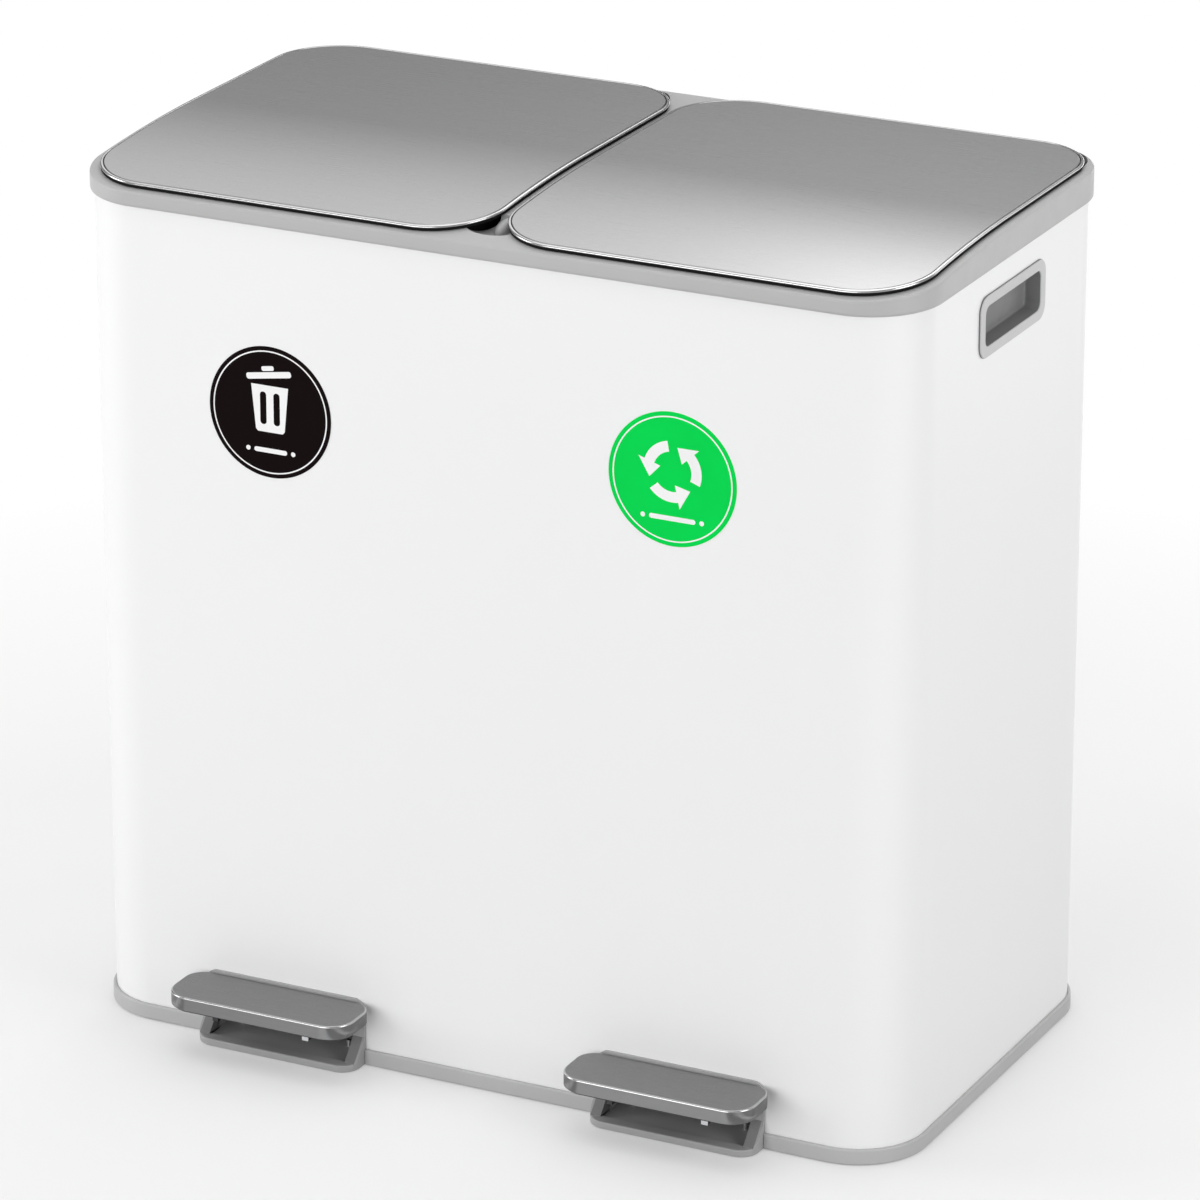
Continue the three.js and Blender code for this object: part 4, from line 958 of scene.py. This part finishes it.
def make_pedal(hand):
    low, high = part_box(f"pedal_plate_{hand}")
    o = Outline(low.x, high.x, low.y, high.y, PLATE_FRONT_RADIUS, PLATE_REAR_RADIUS)
    skirt = [(PLATE_STEEL, PLATE_ROUND), (PLATE_STEEL, PLATE_SKIRT), (PLATE_HEM, PLATE_SKIRT),
             (0, PLATE_SKIRT - PLATE_HEM), (0, PLATE_ROUND)]
    edge = quarter(PLATE_ROUND, 8) + [(PLATE_ROUND, PLATE_STEEL), (PLATE_STEEL, PLATE_ROUND)]
    sheet = [(PLATE_ROUND, PLATE_STEEL), (PLATE_ROUND, 0)]
    # The edge's lighter steel paints a highlight line; the top and skirt are darkened to paint dim
    # reflections.
    for name, steps, closed, finish in (("pedal_skirt", skirt, True, SKIRT_DIMMED_STEEL_FINISH),
                                        ("pedal_edge", edge, True, PEDAL_EDGE_HIGHLIGHT_FINISH),
                                        ("pedal", sheet, False, PEDAL_DIMMED_STEEL_FINISH)):
        piece = profile_loft(f"{name}_{hand}", o, steps, high.z, RIM_STEPS, closed=closed)
        finish_piece(piece, f"pedal_{hand}", "brushed_steel", finish, f"pedal_plate_{hand}")
    low_c, high_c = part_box(f"pedal_core_{hand}")
    inner = grow(o, -PLATE_STEEL - GAP)
    deep = high_c.z - low_c.z
    core_steps = [(PAD_CHAMFER, deep), (0, deep - PAD_CHAMFER), (0, 2 * PAD_CHAMFER), (2 * PAD_CHAMFER, 0)]
    core = profile_loft(f"pedal_pad_{hand}", inner, core_steps, high_c.z, RIM_STEPS)
    x = (o.x0 + o.x1) / 2
    slots = []
    for end in (-1, 1):
        cx = x + end * FORK_HALF
        half = FORK_STEEL / 2 + GAP
        slots.append(cut(box("slot", cx - half, cx + half, o.y0 + FORK_TAB_INSET - GAP,
                             o.y1 - FORK_TAB_INSET + GAP, low_c.z - mm, high_c.z - PAD_SKIN)))
    carve(core, *slots)
    finish_piece(core, f"pedal_{hand}", "dark_plastic", DARK, f"pedal_core_{hand}")
    wide, thick, tall = FORK_CAP
    cx, cy = x + FORK_HALF, o.y0 + FORK_TAB_INSET - GAP
    cap = box(f"fork_cap_{hand}", cx - wide / 2, cx + wide / 2, cy - thick, cy, FORK_UNDER, FORK_UNDER + tall)
    soften(cap, CARVED_ROUND, 3)
    finish_piece(cap, f"pedal_{hand}", "zinc_steel", ZINC)


# ------------------------
# Buckets and bumpers

def make_bucket(hand):
    low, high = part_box(f"bucket_{hand}")
    o = Outline(low.x, high.x, low.y, high.y, MOUTH_RADIUS - mm, MOUTH_RADIUS - mm)
    height = high.z - low.z
    foot = BUCKET_FLANGE + BUCKET_TAPER
    steps = [(foot + BUCKET_FOOT, height)]
    steps += [(foot + inset, height - BUCKET_FOOT + (BUCKET_FOOT - drop))
              for inset, drop in reversed(quarter(BUCKET_FOOT, FINE_EDGE_STEPS)[:-1])]
    steps += [(BUCKET_FLANGE, BUCKET_WALL), (BUCKET_LIP_WALL, BUCKET_WALL), (BUCKET_LIP_WALL, BUCKET_LIP),
              (BUCKET_CHAMFER, BUCKET_LIP), (0, BUCKET_LIP - BUCKET_CHAMFER)]
    steps += quarter(BUCKET_ROUND, FINE_EDGE_STEPS)
    lip = BUCKET_FLANGE + BUCKET_WALL
    steps += [(lip - inset, drop) for inset, drop in reversed(quarter(BUCKET_ROUND, FINE_EDGE_STEPS))]
    bottom = foot + BUCKET_WALL
    steps += [(bottom + inset, height - BUCKET_WALL - drop)
              for inset, drop in quarter(BUCKET_FOOT, FINE_EDGE_STEPS)]
    tub = profile_loft(f"tub_{hand}", o, steps, high.z, ARC_STEPS)
    finish_piece(tub, f"bucket_{hand}", "bucket_plastic", BUCKET_GREY, f"bucket_{hand}")


def make_bumpers():
    for _, hand in SIDES:
        for tag in "ab":
            low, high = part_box(f"lid_bumper_{hand}_{tag}")
            centre = (low + high) / 2
            r, h = (high.x - low.x) / 2, high.z - low.z
            dome = [(0, 0), (r, 0), (r, h * 0.45), (r * 0.86, h * 0.75), (r * 0.5, h * 0.94), (0, h)]
            pad = lathe(f"bumper_{hand}_{tag}", dome, Vector((centre.x, centre.y, low.z)), sides=32)
            finish_piece(pad, "body", "rubber", RUBBER, f"lid_bumper_{hand}_{tag}")


# ------------------------
# Labels: a round film with a thin white ring and a pictogram

def printed(name, loops, centre, y):
    """Flat white print from closed (x, z) loops round a centre; loops inside loops are holes."""
    curve = bpy.data.curves.new(name, "CURVE")
    curve.dimensions = "2D"
    curve.fill_mode = "BOTH"
    curve.extrude = PRINT_THICK / 2
    for loop in loops:
        spline = curve.splines.new("POLY")
        spline.points.add(len(loop) - 1)
        for point, (u, v) in zip(spline.points, loop):
            point.co = (u, v, 0, 1)
        spline.use_cyclic_u = True
    draft = placed(name, curve)
    graph = bpy.context.evaluated_depsgraph_get()
    mesh = bpy.data.meshes.new_from_object(draft.evaluated_get(graph))
    bpy.data.objects.remove(draft)
    mesh.transform(Matrix.Translation((centre.x, y, centre.z)) @ Matrix.Rotation(math.pi / 2, 4, "X"))
    return placed(name, mesh)


def circle(r, count=96, u=0.0, v=0.0):
    return [(u + r * math.cos(2 * math.pi * i / count), v + r * math.sin(2 * math.pi * i / count))
            for i in range(count)]


def rounded(u0, u1, v0, v1, r, steps=6):
    """A rounded rectangle as a loop of points."""
    loop = []
    for cu, cv, start in ((u1 - r, v1 - r, 0), (u0 + r, v1 - r, 90),
                          (u0 + r, v0 + r, 180), (u1 - r, v0 + r, 270)):
        for i in range(steps + 1):
            a = math.radians(start + 90 * i / steps)
            loop.append((cu + r * math.cos(a), cv + r * math.sin(a)))
    return loop


def turned(loop, degrees, u=0.0, v=0.0):
    c, s = math.cos(math.radians(degrees)), math.sin(math.radians(degrees))
    return [(u + (a - u) * c - (b - v) * s, v + (a - u) * s + (b - v) * c) for a, b in loop]


def bin_pictogram():
    """A tapered tub with two slots, under a lid that stands ajar."""
    tub = [(-13.5, 13), (13.5, 13), (10.5, -17), (9, -18.5), (-9, -18.5), (-10.5, -17)]
    slots = [rounded(-7.2, -2.6, -13.5, 8.5, 2.2), rounded(2.6, 7.2, -13.5, 8.5, 2.2)]
    lid = turned(rounded(-16.5, 16.5, 15.4, 19.6, 1.6), 9, -16.5, 15.4)
    knob = turned(rounded(-4.5, 4.5, 20.4, 23.6, 1.2), 9, -16.5, 15.4)
    return [[(u * mm, (v + 5) * mm) for u, v in loop] for loop in (tub, *slots, lid, knob)]


def loop_arrow(start, sweep, r0, r1, head, barb):
    """A bent arrow along a ring: its shaft between two radii, then a pointed head."""
    steps = 14
    a0 = math.radians(start)
    a1 = math.radians(start + sweep)
    tip = a1 + math.radians(head)
    outer = [(r1, a0 + (a1 - a0) * i / steps) for i in range(steps + 1)]
    inner = [(r0, a1 + (a0 - a1) * i / steps) for i in range(steps + 1)]
    middle = (r0 + r1) / 2
    polar = outer + [(r1 + barb, a1), (middle, tip), (r0 - barb, a1)] + inner
    return [(r * math.cos(a), r * math.sin(a)) for r, a in polar]


def arrows_pictogram():
    """Three arrows that chase each other round a ring."""
    loops = [loop_arrow(start, 62, 13.2, 20.2, 36, 4.4) for start in (100, 220, 340)]
    return [[(u * mm, (v + 5) * mm) for u, v in loop] for loop in loops]


def underline(width):
    """Bars and dots in the place of a caption."""
    half = width / 2
    bar = rounded(-half + 6, half - 6, -27.6, -24.4, 1.55)
    dots = [circle(1.6, 24, -half + 1.6, -26), circle(1.6, 24, half - 1.6, -26)]
    return [[(u * mm, v * mm) for u, v in loop] for loop in (bar, *dots)]


def make_label(hand, film, slot, pictogram, caption_width):
    low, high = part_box(f"label_{hand}")
    centre = (low + high) / 2
    r = (high.x - low.x) / 2
    thick = high.y - low.y
    profile = [(0, 0), (r, 0), (r, thick * 0.6), (r - thick * 0.4, thick), (0, thick)]
    disc = lathe(f"label_film_{hand}", profile, Vector((centre.x, high.y, centre.z)), "-Y", 128)
    finish_piece(disc, "body", slot, film, f"label_{hand}")
    front = low.y + PRINT_THICK / 4
    loops = [circle(LABEL_RING[1], 128), circle(LABEL_RING[0], 128)] + pictogram + underline(caption_width)
    sign = printed(f"label_print_{hand}", loops, centre, front)
    finish_piece(sign, "body", slot, WHITE_PRINT)


# ------------------------
# Pieces that keep their CAD shape

def dress_nodes():
    finishes = {"zinc_steel": ZINC, "dark_plastic": DARK, "rubber": RUBBER}
    slots = {s["node"]: s["material_slot"] for s in frame["record"]["subparts"]}
    for name, obj in nodes.items():
        if obj.hide_render:
            continue
        # The pedal levers take the near-black zinc, which paints the shade they sit in under the pedals.
        finish = LEVER_SHADE_ZINC if name.startswith("pedal_lever") else finishes[slots[name]]
        obj.data.materials.clear()
        obj.data.materials.append(finish)


# ------------------------
# Camera, light and floor

def make_camera():
    data = bpy.data.cameras.new("camera")
    data.lens = CAMERA_LENS
    data.sensor_width = SENSOR
    camera = placed("camera", data)
    back = Vector((math.sin(CAMERA_AZIMUTH) * math.cos(CAMERA_ELEVATION),
                   -math.cos(CAMERA_AZIMUTH) * math.cos(CAMERA_ELEVATION), math.sin(CAMERA_ELEVATION)))
    camera.location = CAMERA_TARGET + back * CAMERA_DISTANCE
    camera.rotation_euler = (math.pi / 2 - CAMERA_ELEVATION, 0, CAMERA_AZIMUTH)
    bpy.context.scene.camera = camera


def softbox(name, place, target, width, height, radiance):
    """An area lamp of a given brightness, facing a point."""
    data = bpy.data.lights.new(name, "AREA")
    data.shape = "RECTANGLE"
    data.size = width
    data.size_y = height
    data.energy = radiance * math.pi * width * height
    lamp = placed(name, data)
    lamp.location = place
    lamp.rotation_euler = (Vector(target) - Vector(place)).to_track_quat("-Z", "Y").to_euler()
    lamp.visible_camera = False


def make_lights():
    middle = (0, MID_Y, 0.3)
    softbox("top_softbox", (-0.2, 0.1, 2.6), middle, 2.4, 2.4, 1.3)
    softbox("rear_softbox", (-0.2, 1.9, 2.2), (-0.2, MID_Y, 0.9), 1.4, 1.0, 2.15)
    softbox("rear_left_softbox", (-1.6, 1.9, 2.2), (-1.0, MID_Y, 0.9), 1.4, 1.0, 0.82)
    softbox("front_softbox", (-0.5, -3.2, 0.8), middle, 2.6, 1.6, 3.8)
    softbox("left_softbox", (-2.4, -0.9, 0.9), middle, 1.2, 1.7, 3.6)
    softbox("right_softbox", (2.2, -0.4, 0.9), middle, 1.2, 1.7, 3.55)
    softbox("back_softbox", (0, 2.6, 0.3), (0, MID_Y, 0.3), 2.4, 0.5, 2.4)
    softbox("rear_right_softbox", (1.08, 1.24, 0.8), (0.28, -0.15, 0.8), 0.5, 1.6, 1.0)
    world = bpy.data.worlds.new("studio")
    bpy.context.scene.world = world
    world.use_nodes = True
    tree = world.node_tree
    place = tree.nodes.new("ShaderNodeTexCoord")
    split = tree.nodes.new("ShaderNodeSeparateXYZ")
    ramp = tree.nodes.new("ShaderNodeValToRGB")
    tree.links.new(place.outputs["Generated"], split.inputs["Vector"])
    tree.links.new(split.outputs["Z"], ramp.inputs["Fac"])
    tree.links.new(ramp.outputs["Color"], tree.nodes["Background"].inputs["Color"])
    stops = ((0.0, 0.0), (0.14, 0.25), (0.26, 0.0), (0.34, 0.69), (0.45, 0.32), (0.56, 0.36), (1.0, 0.36))
    elements = ramp.color_ramp.elements
    for share, _ in stops[1:-1]:
        elements.new(share)
    for stop, (share, level) in zip(elements, stops):
        stop.position = share
        stop.color = (level, level, level, 1)


def make_floor():
    bm = bmesh.new()
    bmesh.ops.create_grid(bm, x_segments=1, y_segments=1, size=14)
    floor = mesh_object("floor", bm)
    material = bpy.data.materials.new("floor")
    tree, lit = node_tree(material)
    lit.inputs["Base Color"].default_value = (0.5, 0.5, 0.5, 1)
    lit.inputs["Roughness"].default_value = 0.9
    lit.inputs["Specular IOR Level"].default_value = 0.0
    sheet = tree.nodes.new("ShaderNodeBsdfDiffuse")
    sheet.inputs["Color"].default_value = (0.84, 0.84, 0.84, 1)
    glow = tree.nodes.new("ShaderNodeEmission")
    glow.inputs["Strength"].default_value = 1.0
    seen = tree.nodes.new("ShaderNodeMixShader")
    place = tree.nodes.new("ShaderNodeTexCoord")
    reach = tree.nodes.new("ShaderNodeVectorMath")
    reach.operation = "LENGTH"
    share = tree.nodes.new("ShaderNodeMapRange")
    share.inputs["From Min"].default_value = 0.55
    share.inputs["From Max"].default_value = 1.1
    share.inputs["To Min"].default_value = 0.3
    share.inputs["To Max"].default_value = 1.0
    tree.links.new(place.outputs["Object"], reach.inputs[0])
    tree.links.new(reach.outputs["Value"], share.inputs["Value"])
    tree.links.new(share.outputs["Result"], seen.inputs["Fac"])
    tree.links.new(sheet.outputs["BSDF"], seen.inputs[1])
    tree.links.new(glow.outputs["Emission"], seen.inputs[2])
    path = tree.nodes.new("ShaderNodeLightPath")
    direct = path.outputs["Is Camera Ray"]
    for name in ("Is Glossy Ray", "Is Transmission Ray"):
        either = tree.nodes.new("ShaderNodeMath")
        either.operation = "MAXIMUM"
        tree.links.new(direct, either.inputs[0])
        tree.links.new(path.outputs[name], either.inputs[1])
        direct = either.outputs["Value"]
    pick = tree.nodes.new("ShaderNodeMixShader")
    tree.links.new(direct, pick.inputs["Fac"])
    tree.links.new(lit.outputs["BSDF"], pick.inputs[1])
    tree.links.new(seen.outputs["Shader"], pick.inputs[2])
    tree.links.new(pick.outputs["Shader"], tree.nodes["Material Output"].inputs["Surface"])
    floor.data.materials.append(material)


# ------------------------
# Assembly

make_camera()
make_body()
make_rim()
make_tray()
make_feet()
make_bumpers()
for side, hand in SIDES:
    make_handle_cup(side, hand)
    make_housing(hand)
    make_lid(side, hand)
    make_liner(side, hand)
    make_pedal(hand)
    make_bucket(hand)
make_label("left", BLACK_FILM, "black_label", bin_pictogram(), 36)
make_label("right", GREEN_FILM, "green_label", arrows_pictogram(), 44)
dress_nodes()
make_lights()
make_floor()

bpy.context.scene.view_settings.view_transform = "Standard"
